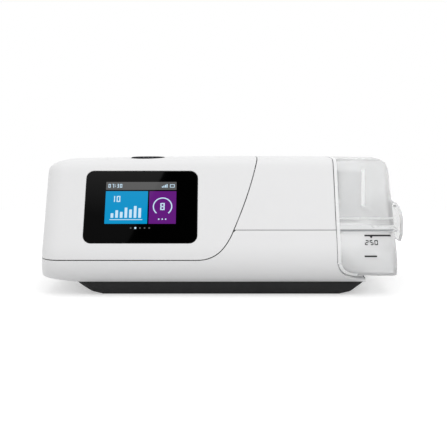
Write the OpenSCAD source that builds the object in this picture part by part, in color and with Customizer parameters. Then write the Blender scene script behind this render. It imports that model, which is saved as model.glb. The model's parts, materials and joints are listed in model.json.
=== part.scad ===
// Bedside bilevel breathing machine with a slide-out humidifier tub.
// Millimetres. +Z is up, the front faces -Y, and the origin is the middle of the plane under the feet.

/* [Housing] */
// Overall width, from the left end to the tub latch
body_w = 259.4; // [259:0.1:260]
// Overall depth, from the front bulge to the tip of the air outlet
body_d = 138.5; // [138:0.1:139]
// Overall height
body_h = 94.5; // [94:0.1:95]
// Wall thickness of the white shells
wall = 2.6; // [2.2:0.1:3]
// Gap between neighbouring shells
seam_gap = 0.45; // [0.3:0.05:0.6]
// Height of the dark base under the white shells
base_h = 9.5; // [9.3:0.1:10]
// How far the top crown drops at the far left end
crown = 1.8; // [0:0.1:2.4]

/* [Screen] */
// Width of the glass
glass_w = 78.7; // [76:0.1:80]
// Length of the glass up the sloping face
glass_l = 54; // [52:0.5:55]
// Corner radius of the glass
glass_r = 5.6; // [4:0.1:7]
// Middle of the glass, across
glass_x = -59.6; // [-61:0.1:-58]
// Middle of the glass, height above the table
glass_z = 61.3; // [60.5:0.1:62]

/* [Start button] */
// Diameter of the button
button_d = 25; // [22:0.5:26]
// Middle of the button, across
button_x = -57.5; // [-59:0.1:-56]
// Middle of the button, front to back
button_y = -15.5; // [-16:0.5:-12]
// How far the button goes down
button_travel = 1; // [0.6:0.1:1]

/* [Water tub] */
// Right end of the tub wall, at the table
tub_end = 118.3; // [117:0.1:119]
// Inner end of the tub, deep in the bay
tub_in = 15; // [15:0.5:18]
// Height of the joint between tub base and lid
tub_joint = 44.8; // [44:0.1:45]
// Wall thickness of the clear plastic
tub_wall = 2.2; // [2:0.1:2.4]

/* [Air outlet] */
// Outside diameter of the spigot
outlet_d = 22; // [22:0.1:22.4]
// Height of the spigot's axis
outlet_z = 58; // [57:0.5:59]

/* [Blower] */
// Diameter of the impeller
impeller_d = 50; // [46:1:50]
// Number of impeller blades
blades = 11; // [7:1:13]
// Number of motor coils
coils = 9; // [6:3:9]

/* [Hidden] */
$fn = 64;

// Side profile, in Y and Z
spigot_proud = 3.25;
left_x = -body_w / 2;
front_y = -body_d / 2;
rear_y = body_d / 2 - spigot_proud;
face_foot = [front_y + 3.75, 36];
face_head = [front_y + 30.55, 88.6];
face_lean = atan((face_head[0] - face_foot[0]) / (face_head[1] - face_foot[1]));
top_apex_y = -12;
top_rear_drop = 5;
front_crest = [-29, body_h - 0.4];
rear_top_r = 8;
front_foot = [-60, base_h];

// Rounding of the left end and of the tub's right end: along X, Y and Z
left_round = [14, 16, 9];
left_draft = 1.6;
tub_round = [6, 5, 8];
tub_draft = 2.7;
round_steps = 9;
crown_x = 15;
crown_from = 86;

// Seams, in X and Z
seam_low = 25.6;
bay_seam = 45.5;
mouth_x = 75.3;
sill_x = 97;
underside_x = -104;
underside_rise = 0.16;
lip_t = 1;
lip_reach = 2.6;
lip_gap = 0.05;
lip_root = 0.4;

// Humidifier bay and tub
bay_gap = 1.5;
tub_floor = 14.8;
tub_rear = 51;
tub_top = 86.5;
tub_mouth_gap = 1;
tub_step_x = mouth_x + tub_mouth_gap + 2.3;
tub_sill_x = 90;
tub_rim_w = 1.8;
tub_rim_h = 2;
seal_t = 1;
port_in = [-27, 57];
port_out = [34, outlet_z];
port_r = 7.5;
port_out_r = 9;
liner_x = 7.5;
liner_t = 2.5;
plate_mid = [47.5, -6];
plate_size = [56, 72];
hinge_x = 12.7;

// Tub latch
latch_pivot = [120.6, 61];
latch_w = 50;
pin_r = 1.1;
running_gap = 0.05;

// Rear panel
panel_from = [-114, 17];
panel_to = [24, 80];
elbow_r = 16;
outlet_x = liner_x - elbow_r;
inlet_at = [-42, 25];
filter_from = [-109, 34];
filter_to = [-65, 78];
filter_hinge = [filter_from[0] + 1.3, rear_y - 1.1];
adapter_from = [-72, 19];
adapter_to = [-56, 28];
panel_step_y = rear_y - wall - 0.4;
panel_back_y = panel_step_y - 1.2;
clip_z = 38;
clip_w = 23.6;
clip_lug_x = 13.6;
clip_pivot_y = rear_y + 1.5;

// Blower, turning about a vertical axis
blower_at = [-35, 0];
volute_r = 27;
volute_growth = 6;
volute_wall = 1.8;
nozzle_x = -2;
nozzle_w = 12;
blower_z = [46.4, 66];
inlet_r = 9.6;
shaft_r = 2;
can_r = 20;
bearing_r = 5.5;
bearing_z = [32.8, 44.9];
bearing_h = 3.4;
motor_z = 30;
mount_z = 27;

// Intake muffler and the duct over the blower
muffler_mid = [-92.5, 31, 17];
muffler_size = [47, 54];
duct_y = [4, 16];
duct_z = [70, 82];

// Screen recess and button well
recess = 1.8;
display_hole = [60, 46];
well_r = button_d / 2 + 0.4;
well_z = 85.8;
button_top = 94.3;
button_cap_t = 2.3;

// Main board and card
board_z = 17;
board_t = 1.6;
board_from = [-122, -52];
board_to = [-72, 0];
card_y = -18;
card_hinge = [left_x + 1.2, card_y + 14.3];
card_hole = [31.2, 10.2];
card_z = [14.2, 24];
card_pin_r = 0.6;

shell_white = [0.93, 0.93, 0.93];
base_black = [0.1, 0.1, 0.11];
clear_grey = [0.82, 0.85, 0.87, 0.55];
silicone = [0.72, 0.74, 0.76];
board_green = [0.08, 0.3, 0.17];
steel = [0.72, 0.73, 0.75];

function bezier(a, b, c, d, t) =
    pow(1 - t, 3) * a + 3 * pow(1 - t, 2) * t * b + 3 * (1 - t) * t * t * c + pow(t, 3) * d;

function curve(a, b, c, d, steps, first = 0, spare = 0) =
    [for (i = [first:steps - spare]) bezier(a, b, c, d, i / steps)];

function top_z(y) = y > top_apex_y
    ? body_h - top_rear_drop * pow((y - top_apex_y) / 72, 2)
    : body_h - 0.4 * pow((y - top_apex_y) / 17, 2);

// The side profile runs anticlockwise as seen from the right
lean_dir = [sin(face_lean), cos(face_lean)];
rear_arc_mid = [rear_y - rear_top_r, top_z(rear_y - rear_top_r) - rear_top_r + 0.4];
side_profile = concat(
    [front_foot, [rear_y - 4, base_h], [rear_y, base_h + 4]],
    [for (a = [0:10.625:85]) rear_arc_mid + rear_top_r * [cos(a), sin(a)]],
    [for (y = [44:-14:top_apex_y]) [y, top_z(y)]],
    curve(front_crest, front_crest - [5.5, 0.3], face_head + 4.5 * lean_dir, face_head, 8),
    curve(face_foot, face_foot - 12.1 * lean_dir, [front_y - 2.4, 16.2], front_foot, 14, 0, 1));

function edge_normal(a, b) = let (d = (b - a) / norm(b - a)) [d[1], -d[0]];

// Moves every edge of a convex profile inward by t
function inset(p, t) = let (n = len(p))
    [for (i = [0:n - 1])
        let (before = edge_normal(p[(i + n - 1) % n], p[i]),
            after = edge_normal(p[i], p[(i + 1) % n]))
        p[i] - t * (before + after) / (1 + before * after)];

function crowned(p) = [p[0], p[1],
    p[2] - crown * pow((p[0] - crown_x) / 130, 2)
        * min(1, max(0, (p[2] - crown_from) / (body_h - crown_from)))];

function straight_ring(p, x) = [for (q = p) crowned([x, q[0], q[1]])];

// One ring of a rounded end: turn 0 is the flat end wall, turn 90 the full profile
function end_ring(p, x, side, turn, radii, draft) =
    let (k = 1 - sin(turn), full = body_h - base_h)
    [for (q = p)
        let (z = p[0][1] + (q[1] - p[0][1]) * (1 - radii[2] * k / full))
        crowned([x - side * (draft * (z - base_h) / full + radii[0] * (1 - cos(turn))),
            q[0] * (1 - radii[1] * k / rear_y), z])];

module loft(rings) {
    n = len(rings[0]);
    m = len(rings);
    sides = [for (k = [0:m - 2], i = [0:n - 1])
        let (a = k * n + i, b = k * n + (i + 1) % n)
        each [[a, a + n, b], [b, a + n, b + n]]];
    last = (m - 1) * n;
    caps = [for (i = [1:n - 2]) each [[0, i, i + 1], [last, last + i + 1, last + i]]];
    polyhedron([for (r = rings) each r], concat(sides, caps), convexity = 6);
}

// The whole outer form from the rounded left end to the last station, t inside the surface
module housing_form(t, stations) {
    p = inset(side_profile, t);
    r = left_round - [t, t, t];
    step = 90 / round_steps;
    loft(concat([for (a = [0:step:90]) end_ring(p, left_x + t, -1, a, r, left_draft)],
        [for (x = stations) straight_ring(p, x)]));
}

module middle_form(t, stations) {
    p = inset(side_profile, t);
    loft([for (x = stations) straight_ring(p, x)]);
}

module tub_form(stations) {
    step = 90 / round_steps;
    loft(concat([for (x = stations) straight_ring(side_profile, x)],
        [for (a = [0:step:90]) end_ring(side_profile, tub_end, 1, 90 - a, tub_round, tub_draft)]));
}

// Draws in X and Z, extruded along Y
module along_y(from = -90, to = 90) {
    translate([0, to, 0]) rotate([90, 0, 0]) linear_extrude(to - from) children();
}

// Draws in Y and Z, extruded along X
module along_x(from, to) {
    translate([from, 0, 0]) rotate([90, 0, 90]) linear_extrude(to - from) children();
}

module rounded_rect(size, r) {
    x = size[0] / 2 - r;
    y = size[1] / 2 - r;
    square([size[0], 2 * y], center = true);
    square([2 * x, size[1]], center = true);
    for (sx = [-1, 1], sy = [-1, 1]) translate([sx * x, sy * y]) circle(r);
}

module box(from, to) {
    translate(from) cube(to - from);
}

module tube(r_out, r_in, h) {
    difference() {
        cylinder(r = r_out, h = h);
        translate([0, 0, -1]) cylinder(r = r_in, h = h + 2);
    }
}

// Main seam: from the top, down beside the bay, and round to the left end
steep_seam = curve([23.2, 97], [18.8, 77], [13, 62], [5.5, bay_seam], 8);
low_seam = curve([5.5, bay_seam], [0, 33.5], [-7, seam_low], [-20, seam_low], 10, 1);
high_lip = curve([21.5, 84], [18.8, 77], [13, 62], [6.8, bay_seam + 4.5], 6);
mouth_curve = curve([mouth_x, 26], [mouth_x, 17.5], [81, 11.5], [sill_x, 10.2], 8);

function shifted(p, by) = [for (q = p) q + by];

// Strip beside a seam curve, between two distances to its right
module along_seam(p, near, far) {
    polygon(concat(shifted(p, [near, 0]), [for (i = [len(p) - 1:-1:0]) p[i] + [far, 0]]));
}

module main_region() {
    polygon(concat(shifted(concat(steep_seam, low_seam, [[-150, seam_low]]),
        [-seam_gap, seam_gap]), [[-150, 120], [22, 120]]));
}

module bay_region() {
    polygon(concat(shifted(steep_seam, [0, seam_gap]), [[mouth_x, bay_seam + seam_gap],
        [mouth_x, 120], [23.2, 120]]));
}

module lower_region(rise = 0, reach = sill_x) {
    polygon(concat([[-150, seam_low]], [for (i = [len(low_seam) - 1:-1:0]) low_seam[i]],
        [[5.5, bay_seam], [mouth_x, bay_seam]], mouth_curve,
        [[reach, base_h - 5], [underside_x, base_h - 5], [underside_x, base_h + rise],
        [-150, base_h + rise + underside_rise * (150 + underside_x)]]));
}

module above_underside(t) {
    along_y() polygon([[-150, base_h + t + underside_rise * (150 + underside_x)],
        [underside_x, base_h + t], [underside_x, base_h - 1], [150, base_h - 1], [150, 120],
        [-150, 120]]);
}

// Places children on the sloping face, with the outward normal as their Z
module on_face(x, z) {
    y = face_foot[0] + (z - face_foot[1]) * tan(face_lean);
    translate([x, y, z]) rotate([90 - face_lean, 0, 0]) children();
}

module panel_opening(grow, depth = 1) {
    mid = (panel_from + panel_to) / 2;
    along_y(rear_y - wall - depth, rear_y + 1)
        translate(mid) rounded_rect(panel_to - panel_from + 2 * [grow, grow], 6 + grow);
}

// Tongue behind a seam: the first child is its whole strip, the second the strip on its own shell
module seam_lip(from, to) {
    for (i = [0, 1]) intersection() {
        along_x(from, to) difference() {
            polygon(inset(side_profile, wall + (i == 0 ? lip_gap : -lip_root)));
            polygon(inset(side_profile, wall + lip_t));
        }
        difference() {
            along_y() children(i);
            panel_opening(2, 4);
        }
    }
}

module main_cover() color(shell_white) {
    stations = [-90, -60, -30, 0, 30];
    difference() {
        union() {
            difference() {
                intersection() {
                    housing_form(0, stations);
                    along_y() main_region();
                }
                housing_form(wall, [for (x = stations) x + 2]);
            }
            translate([button_x, button_y, well_z]) cylinder(r = well_r + 1.5, h = 6.4);
        }
        on_face(glass_x, glass_z) translate([0, 0, -recess])
            linear_extrude(4) rounded_rect([glass_w + 0.5, glass_l + 0.5], glass_r + 0.25);
        on_face(glass_x, glass_z) translate([0, 0, -9])
            linear_extrude(12) rounded_rect(display_hole, 2);
        translate([button_x, button_y, well_z - 5]) cylinder(r = well_r, h = 20);
        panel_opening(0.2);
    }
}

module bay_cover() color(shell_white) {
    difference() {
        intersection() {
            middle_form(0, [-30, 0, 30, 60, 90]);
            along_y() bay_region();
        }
        middle_form(wall, [-40, 0, 30, 60, 100]);
        panel_opening(0.2);
    }
    seam_lip(-5, 40) {
        along_seam(high_lip, -lip_reach, lip_reach);
        along_seam(high_lip, 1, lip_reach);
    }
}

base_screw_at = [[-86, -46], [-86, 46], [-2, -46], [-2, 46]];
muffler_post_at = [[-110, 12], [-74, 12], [-110, 52], [-74, 52]];
board_post_at = [[-118, -44], [-78, -44], [-118, -4], [-78, -4]];
foot_at = [[-74, -40], [-74, 40], [68, -40], [68, 40]];
foot_r = 6.9;
foot_h = 1.6;
screw_r = 1.5;
screw_head_r = 3;
screw_head_h = 2.2;

// Round post standing on the housing floor
module post(at, r, top) {
    foot = base_h + wall - 0.5;
    translate([at[0], at[1], foot]) cylinder(r = r, h = top - foot);
}

module lower_housing() color(shell_white) {
    stations = [-90, -60, -30, 0, 30, 60, 110];
    difference() {
        union() {
            difference() {
                intersection() {
                    housing_form(0, stations);
                    along_y() lower_region();
                }
                intersection() {
                    housing_form(wall, [for (x = stations) x + 5]);
                    above_underside(wall);
                }
            }
            for (lip = [[-112, -21, seam_low], [6, mouth_x - 0.5, bay_seam]])
                seam_lip(lip[0], lip[1]) {
                    translate([lip[0], lip[2] - lip_reach])
                        square([lip[1] - lip[0], 2 * lip_reach]);
                    translate([lip[0], lip[2] - lip_reach])
                        square([lip[1] - lip[0], lip_reach - 0.3]);
                }
            for (p = base_screw_at)
                post(p, screw_r + 1.9, base_h + 6.7);
            for (p = muffler_post_at) post(p, 3, muffler_mid[2]);
            for (p = board_post_at) post(p, 2.6, board_z);
        }
        for (p = base_screw_at)
            translate([p[0], p[1], base_h - 1]) cylinder(r = screw_r + 0.05, h = 6.6);
        translate([plate_mid[0], plate_mid[1], base_h - 1])
            linear_extrude(wall + 2) rounded_rect(plate_size - [2, 4], 5);
        panel_opening(0.2);
        box([left_x - 1, card_y - card_hole[0] / 2, card_z[0]],
            [left_x + 4, card_y + card_hole[0] / 2, card_z[0] + card_hole[1]]);
        translate([card_hinge[0], card_hinge[1], card_z[0] - 1.2])
            cylinder(r = card_pin_r + running_gap, h = card_hole[1] + 1.8);
    }
}

// The dark base tapers down to the feet
pan_bottom = 0.5;
pan_left = [[-103.5, base_h], [-96, 5], [-92, 2.4], [-86, pan_bottom]];
pan_right = [[79, pan_bottom], [85.6, 2.4], [89, 5], [96.4, base_h]];
pan_front = [[-59.8, base_h], [-59.2, 3.2], [-57.6, pan_bottom]];
pan_rear = [[55.6, pan_bottom], [57.8, 3.2], [59.5, base_h]];
pan_mid = [(pan_left[0][0] + pan_right[3][0]) / 2, (pan_front[0][0] + pan_rear[2][0]) / 2];
pan_size = [pan_right[3][0] - pan_left[0][0], pan_rear[2][0] - pan_front[0][0]];
pan_corner_r = 16;
pan_wall = 2.2;
well_top = 5.4;

module pan_solid(t, top) {
    intersection() {
        along_y() polygon(concat(shifted(pan_left, [t * 1.4, t]), shifted(pan_right, [-t * 1.4, t]),
            [[pan_right[3][0] - t * 1.4, 40], [pan_left[0][0] + t * 1.4, 40]]));
        along_x(-150, 150) polygon(concat(shifted(pan_front, [t, t]), shifted(pan_rear, [-t, t]),
            [[pan_rear[2][0] - t, 40], [pan_front[0][0] + t, 40]]));
        translate([pan_mid[0], pan_mid[1], 0]) linear_extrude(top)
            rounded_rect(pan_size - [2 * t, 2 * t], pan_corner_r - t);
    }
}

module base_pan() color(base_black) {
    inside = pan_bottom + pan_wall - 0.2;
    difference() {
        union() {
            difference() {
                pan_solid(0, base_h);
                pan_solid(pan_wall, base_h + 5);
            }
            for (p = base_screw_at)
                translate([p[0], p[1], inside]) cylinder(r = screw_head_r + 2, h = base_h - inside);
            for (y = [-24, 0, 24]) box([-84, y - 0.8, inside], [10, y + 0.8, base_h - 2]);
            for (x = [-60, -30, 76]) box([x - 0.8, -46, inside], [x + 0.8, 46, base_h - 2]);
        }
        for (p = base_screw_at) {
            translate([p[0], p[1], -1]) cylinder(r = screw_head_r + 0.3, h = well_top + 1);
            translate([p[0], p[1], 0]) cylinder(r = screw_r + 0.2, h = base_h + 1);
        }
        for (p = foot_at) translate([p[0], p[1], -1]) cylinder(r = foot_r + 0.1, h = foot_h + 1);
    }
}

module rubber_feet() color([0.15, 0.15, 0.16]) {
    for (p = foot_at) translate([p[0], p[1], 0]) {
        cylinder(r1 = 6, r2 = foot_r, h = foot_h / 2);
        translate([0, 0, foot_h / 2]) cylinder(r = foot_r, h = foot_h / 2);
    }
}

module base_screws() color(steel) {
    for (p = base_screw_at) translate([p[0], p[1], 0]) {
        difference() {
            translate([0, 0, well_top - screw_head_h]) cylinder(r = screw_head_r, h = screw_head_h);
            translate([0, 0, well_top - screw_head_h - 1]) cylinder(r = 1.3, h = 2.2, $fn = 6);
        }
        translate([0, 0, well_top]) cylinder(r = screw_r, h = 9);
    }
}

module rear_panel() color([0.9, 0.9, 0.91]) {
    mid = (panel_from + panel_to) / 2;
    filter_mid = (filter_from + filter_to) / 2;
    filter_size = filter_to - filter_from;
    difference() {
        union() {
            along_y(panel_step_y, rear_y)
                translate(mid) rounded_rect(panel_to - panel_from - [0.4, 0.4], 6);
            along_y(panel_back_y, panel_step_y + 0.1)
                translate(mid) rounded_rect(panel_to - panel_from + [3.2, 3.2], 7);
            along_y(58, panel_step_y)
                translate(filter_mid) rounded_rect(filter_size + [3, 3], 4);
            for (side = [-1, 1])
                along_x(inlet_at[0] + side * clip_lug_x - 1.4, inlet_at[0] + side * clip_lug_x + 1.4)
                    polygon([[rear_y - 0.5, clip_z - 4], [rear_y + 1.6, clip_z - 2],
                        [rear_y + 3.1, clip_z - 1], [rear_y + 3.1, clip_z + 1.6],
                        [rear_y + 1.6, clip_z + 2.6], [rear_y - 0.5, clip_z + 4]]);
        }
        along_y(50, 80) translate(filter_mid) rounded_rect(filter_size - [5.4, 5.4], 1);
        along_y(rear_y - 2.4, 80) translate(filter_mid)
            rounded_rect(filter_size + [0.6, 0.6], 3);
        box([filter_from[0] - 0.9, rear_y - 2.4, filter_from[1] - 0.3],
            [filter_from[0] + 6, rear_y + 1, filter_to[1] + 0.3]);
        translate([outlet_x, 80, outlet_z]) rotate([90, 0, 0]) cylinder(r = 15.7, h = 30);
        translate([inlet_at[0], 80, inlet_at[1]]) rotate([90, 0, 0]) cylinder(r = 7.2, h = 30);
        translate([inlet_at[0] - 18, clip_pivot_y, clip_z]) rotate([0, 90, 0])
            cylinder(r = 1 + running_gap, h = 36);
        translate([filter_hinge[0], filter_hinge[1], filter_from[1] - 1.8])
            cylinder(r = 0.7 + running_gap, h = filter_size[1] + 3.6);
        box([adapter_from[0] - 0.3, rear_y - 10, adapter_from[1]],
            [adapter_to[0] + 0.3, rear_y + 1, adapter_to[1]]);
    }
}

module screen_glass() color([0.03, 0.03, 0.035]) {
    on_face(glass_x, glass_z) translate([0, 0, -1.3])
        linear_extrude(1.2) rounded_rect([glass_w, glass_l], glass_r);
}

module screen_gasket() color([0.2, 0.2, 0.2]) {
    on_face(glass_x, glass_z) translate([0, 0, -recess]) linear_extrude(0.5) difference() {
        rounded_rect([glass_w - 1, glass_l - 1], glass_r - 0.5);
        rounded_rect(display_hole, 2);
    }
}

module display_module() color([0.35, 0.36, 0.38]) {
    on_face(glass_x, glass_z) {
        translate([0, 0, -5.6]) linear_extrude(4.3)
            rounded_rect(display_hole - [1.4, 1.4], 1.5);
        translate([-20, -30, -7.2]) cube([40, 50, 1.6]);
    }
}

module display_ribbon() color([0.75, 0.55, 0.2]) {
    along_x(glass_x - 8, glass_x + 8) polygon([[-57.2, 36.2], [-54, 33.5], [-49, 30], [-46.5, 24],
        [-46, 19], [-45.7, 19], [-46.2, 24.1], [-48.7, 30.2], [-53.8, 33.8], [-57, 36.7]]);
}

module start_button() color([0.2, 0.2, 0.21]) {
    edge = 0.6;
    r = button_d / 2;
    translate([button_x, button_y, button_top]) {
        translate([0, 0, -button_cap_t]) cylinder(r = r, h = button_cap_t - edge);
        translate([0, 0, -edge]) cylinder(r1 = r, r2 = r - 0.8, h = edge);
        translate([0, 0, -button_cap_t - 2.9]) tube(r, r - 1.2, 3.2);
        translate([0, 0, -button_cap_t - 2.5]) cylinder(r = 2, h = 3);
    }
}

module button_light_guide() color([0.9, 0.95, 0.9]) {
    translate([button_x, button_y, well_z]) tube(10, 6, 1.8);
}

module button_board() color(board_green) {
    translate([button_x, button_y, well_z - board_t]) {
        cylinder(r = well_r + 1.5, h = board_t);
        translate([-3, -3, board_t]) cube([6, 6, 1.6]);
        translate([0, 0, board_t + 1.6]) cylinder(r = 1.7, h = 0.5);
    }
}

module main_board() color(board_green) {
    top = board_z + board_t;
    difference() {
        union() {
            box([board_from[0], board_from[1], board_z], [board_to[0], board_to[1], top]);
            box([-90, -40, top], [-78, -28, top + 1.4]);
            box([-92, -20, top], [-82, -12, top + 2.8]);
            for (x = [-76.5, -84]) translate([x, -7.5, top]) cylinder(r = 3, h = 7);
            box([-67.7, -49.5, board_z], [-51.5, -43, board_z + 2]);
            box([board_to[0] - 1, -50, board_z], [-67, -42, top]);
        }
        for (p = board_post_at) translate([p[0], p[1], board_z - 1]) cylinder(r = 1.4, h = 4);
    }
}

module wireless_module() color(steel) {
    top = board_z + board_t;
    box([-116, -42, top], [-98, -36.5, top + 2.4]);
    box([-114, -36.5, top], [-98, -33.4, top + 1.4]);
}

module card_reader() color(steel) {
    difference() {
        box([-125, card_y - 14, board_z + board_t], [-98, card_y + 14, board_z + 5.2]);
        box([-126, card_y - 12.2, board_z + 2.1], [-101, card_y + 12.2, board_z + 4.6]);
    }
}

module memory_card() color([0.15, 0.2, 0.35]) {
    translate([0, 0, board_z + 2.3]) linear_extrude(2.1)
        polygon([[-126.4, card_y - 12], [-126.4, card_y + 12], [-102, card_y + 12],
            [-102, card_y - 8], [-105, card_y - 12]]);
}

module card_cover() color(shell_white) {
    half = 0.9;
    x = card_hinge[0];
    low = card_z[0] + 0.4;
    height = card_z[1] - low;
    box([x - half, card_y - 15.2, low], [x + half, card_hinge[1], low + height]);
    box([x + half, card_y - 14.4, low + 1.4], [x + half + 1, card_y - 13.2, low + 8]);
    translate([x, card_hinge[1], low]) cylinder(r = half, h = height);
    translate([x, card_hinge[1], low - 1.3]) cylinder(r = card_pin_r, h = height + 2.1);
}

module power_inlet() color(base_black) {
    flange = rear_y - panel_back_y - 0.5;
    translate([inlet_at[0], rear_y - 0.6, inlet_at[1]]) rotate([90, 0, 0]) difference() {
        union() {
            cylinder(r = 7, h = flange + 0.2);
            translate([0, 0, flange]) linear_extrude(1.6) rounded_rect([20, 17], 3);
            translate([0, 0, flange + 1.5]) cylinder(r = 6.2, h = 9);
        }
        translate([0, 0, -1]) tube(3.9, 1.25, 12);
    }
}

module retention_clip() color([0.8, 0.8, 0.82]) {
    y = rear_y + 0.4;
    along_y(y, y + 2.4) translate([inlet_at[0], 0]) difference() {
        union() {
            translate([0, clip_z - 11.5]) rounded_rect([clip_w, 23], 3);
            translate([0, clip_z - 2.5]) square([clip_w, 5], center = true);
        }
        translate([0, clip_z - 17]) rounded_rect([13, 16], 3);
        translate([0, clip_z - 24]) square([13, 14], center = true);
    }
    for (pin = [[1.2, clip_w], [1, clip_w + 6]])
        translate([inlet_at[0] - pin[1] / 2, clip_pivot_y, clip_z]) rotate([0, 90, 0])
            cylinder(r = pin[0], h = pin[1]);
}

module adapter_cover() color([0.9, 0.9, 0.91]) {
    box([adapter_from[0], rear_y - 2, adapter_from[1]], [adapter_to[0], rear_y, adapter_to[1]]);
    for (z = [adapter_from[1], adapter_to[1] - 1.5])
        box([adapter_from[0] + 4, rear_y - 6, z], [adapter_to[0] - 4, rear_y - 2, z + 1.5]);
}

module filter_cover() color([0.86, 0.87, 0.88]) {
    mid = (filter_from + filter_to) / 2;
    size = filter_to - filter_from;
    slots = 8;
    pitch = 4.2;
    slot_size = [30, 2.2];
    difference() {
        union() {
            along_y(rear_y - 2.2, rear_y) difference() {
                translate(mid) rounded_rect(size - [0.2, 0.2], 2.8);
                translate(filter_from - [2, 2]) square([3.3, size[1] + 4]);
            }
            along_y(rear_y - 3.6, rear_y - 2.2)
                translate(mid) difference() {
                    rounded_rect(size - [7, 7], 2);
                    rounded_rect(size - [10, 10], 1);
                }
        }
        for (i = [0:slots - 1])
            along_y(rear_y - 5, rear_y + 1)
                translate(mid + [1.5, (i - (slots - 1) / 2) * pitch]) rounded_rect(slot_size, 1);
        along_y(rear_y - 1, rear_y + 1)
            translate([filter_to[0] - 2, mid[1]]) rounded_rect([2.4, 14], 1);
    }
    translate([filter_hinge[0], filter_hinge[1], filter_from[1] + 1]) cylinder(r = 1.1, h = size[1] - 2);
    translate([filter_hinge[0], filter_hinge[1], filter_from[1] - 1.4])
        cylinder(r = 0.7, h = size[1] + 2.8);
}

module air_filter() color([0.95, 0.95, 0.93]) {
    mid = (filter_from + filter_to) / 2;
    size = filter_to - filter_from - [6.4, 6.4];
    pleats = 12;
    pitch = size[0] / pleats;
    translate([0, 58.4, 0]) union() {
        translate([0, 3, mid[1] - size[1] / 2]) linear_extrude(size[1])
            polygon(concat([[mid[0] + size[0] / 2, 0.8], [mid[0] - size[0] / 2, 0.8]],
                [for (i = [0:pleats - 1]) each [[filter_from[0] + 3.2 + i * pitch, -2.4],
                    [filter_from[0] + 3.2 + (i + 0.5) * pitch, -0.6]]],
                [[mid[0] + size[0] / 2, -2.4]]));
    }
}

module intake_muffler() color([0.55, 0.57, 0.6]) {
    difference() {
        translate(muffler_mid) linear_extrude(66) rounded_rect(muffler_size, 4);
        translate(muffler_mid + [0, 0, 2]) linear_extrude(62)
            rounded_rect(muffler_size - [4, 4], 2.5);
        box([-104, 50, 38], [-71.4, 60, 74]);
        box([-75, duct_y[0] + 2, duct_z[0] + 1.5], [-60, duct_y[1] - 2, duct_z[1] - 1.5]);
    }
}

module muffler_foam() color([0.3, 0.3, 0.32]) {
    difference() {
        translate(muffler_mid + [0, 0, 2]) linear_extrude(62)
            rounded_rect(muffler_size - [4.2, 4.2], 2.4);
        box([-105, 30, 38], [-71.4, 60, 74]);
        box([-106, 16, 38], [-96, 31, 74]);
        box([-106, duct_y[0] + 2.5, 70], [-60, duct_y[1] - 2, duct_z[1] - 2]);
        box([-106, duct_y[0] + 2.5, 60], [-96, 17.5, 70.5]);
    }
}

module intake_duct() color([0.6, 0.62, 0.65]) {
    x = muffler_mid[0] + muffler_size[0] / 2;
    difference() {
        union() {
            box([x, duct_y[0], duct_z[0]], [blower_at[0], duct_y[1], duct_z[1]]);
            translate([blower_at[0], blower_at[1], duct_z[0]])
                cylinder(r = 16, h = duct_z[1] - duct_z[0]);
        }
        box([x - 1, duct_y[0] + 2, duct_z[0] + 1.5],
            [blower_at[0], duct_y[1] - 2, duct_z[1] - 1.5]);
        translate([blower_at[0], blower_at[1], duct_z[0] + 1.5])
            cylinder(r = 14, h = duct_z[1] - duct_z[0] - 3);
        translate([blower_at[0], blower_at[1], duct_z[0] - 1]) cylinder(r = inlet_r + 1.8, h = 4);
    }
}

// Spiral outline of the volute with its straight nozzle, which leaves towards +X
module volute_outline(grow) {
    turns = 40;
    union() {
        polygon([for (i = [0:turns]) let (a = i * 360 / turns - 90,
            r = volute_r + volute_growth * i / turns + grow) r * [cos(a), sin(a)]]);
        translate([0, -volute_r - volute_growth - grow])
            square([nozzle_x - blower_at[0], nozzle_w + 2 * grow]);
    }
}

module blower_cover() color([0.5, 0.52, 0.55]) {
    low = blower_z[0] + 2;
    translate([blower_at[0], blower_at[1], 0]) difference() {
        union() {
            translate([0, 0, low]) linear_extrude(blower_z[1] - low) volute_outline(volute_wall);
            translate([0, 0, blower_z[1] - 1]) cylinder(r = inlet_r + 1.6, h = 7.5);
        }
        translate([0, 0, low - 1]) linear_extrude(blower_z[1] - low + 1 - volute_wall)
            volute_outline(0);
        translate([0, 0, 60]) cylinder(r = inlet_r, h = 20);
        translate([nozzle_x - blower_at[0] - 2, -volute_r - volute_growth, low - 1])
            cube([6, nozzle_w, blower_z[1] - low + 1 - volute_wall]);
    }
}

module blower_base() color([0.5, 0.52, 0.55]) {
    translate([blower_at[0], blower_at[1], 0]) difference() {
        union() {
            translate([0, 0, blower_z[0]]) linear_extrude(2) volute_outline(volute_wall);
            translate([0, 0, 43]) cylinder(r = 7.6, h = 4);
        }
        translate([0, 0, bearing_z[1]]) cylinder(r = bearing_r, h = 5);
        translate([0, 0, 42]) cylinder(r = 3.4, h = 5);
    }
}

module motor_housing() color(steel) {
    translate([blower_at[0], blower_at[1], motor_z]) difference() {
        union() {
            difference() {
                cylinder(r = can_r, h = 16.4);
                translate([0, 0, 2]) cylinder(r = can_r - 2, h = 20);
            }
            cylinder(r = 7.4, h = 6.2);
        }
        translate([0, 0, bearing_z[0] - motor_z]) cylinder(r = bearing_r, h = 10);
    }
}

module motor_stator() color([0.45, 0.46, 0.48]) {
    translate([blower_at[0], blower_at[1], 37.6]) linear_extrude(4) difference() {
        union() {
            difference() {
                circle(can_r - 2 - running_gap);
                circle(can_r - 4.6);
            }
            for (i = [0:coils - 1]) rotate(i * 360 / coils) {
                translate([8.4, -1.4]) square([8, 2.8]);
                translate([7.8, -2.3]) square([1.4, 4.6]);
            }
        }
        circle(7.9);
    }
}

module stator_coils() color([0.72, 0.4, 0.2]) {
    translate([blower_at[0], blower_at[1], 36.6])
        for (i = [0:coils - 1]) rotate(i * 360 / coils) translate([9.4, 0, 0]) difference() {
            translate([0, -2.3, 0]) cube([5.4, 4.6, 6]);
            translate([-1, -1.45, 0.95]) cube([8, 2.9, 4.1]);
        }
}

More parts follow.
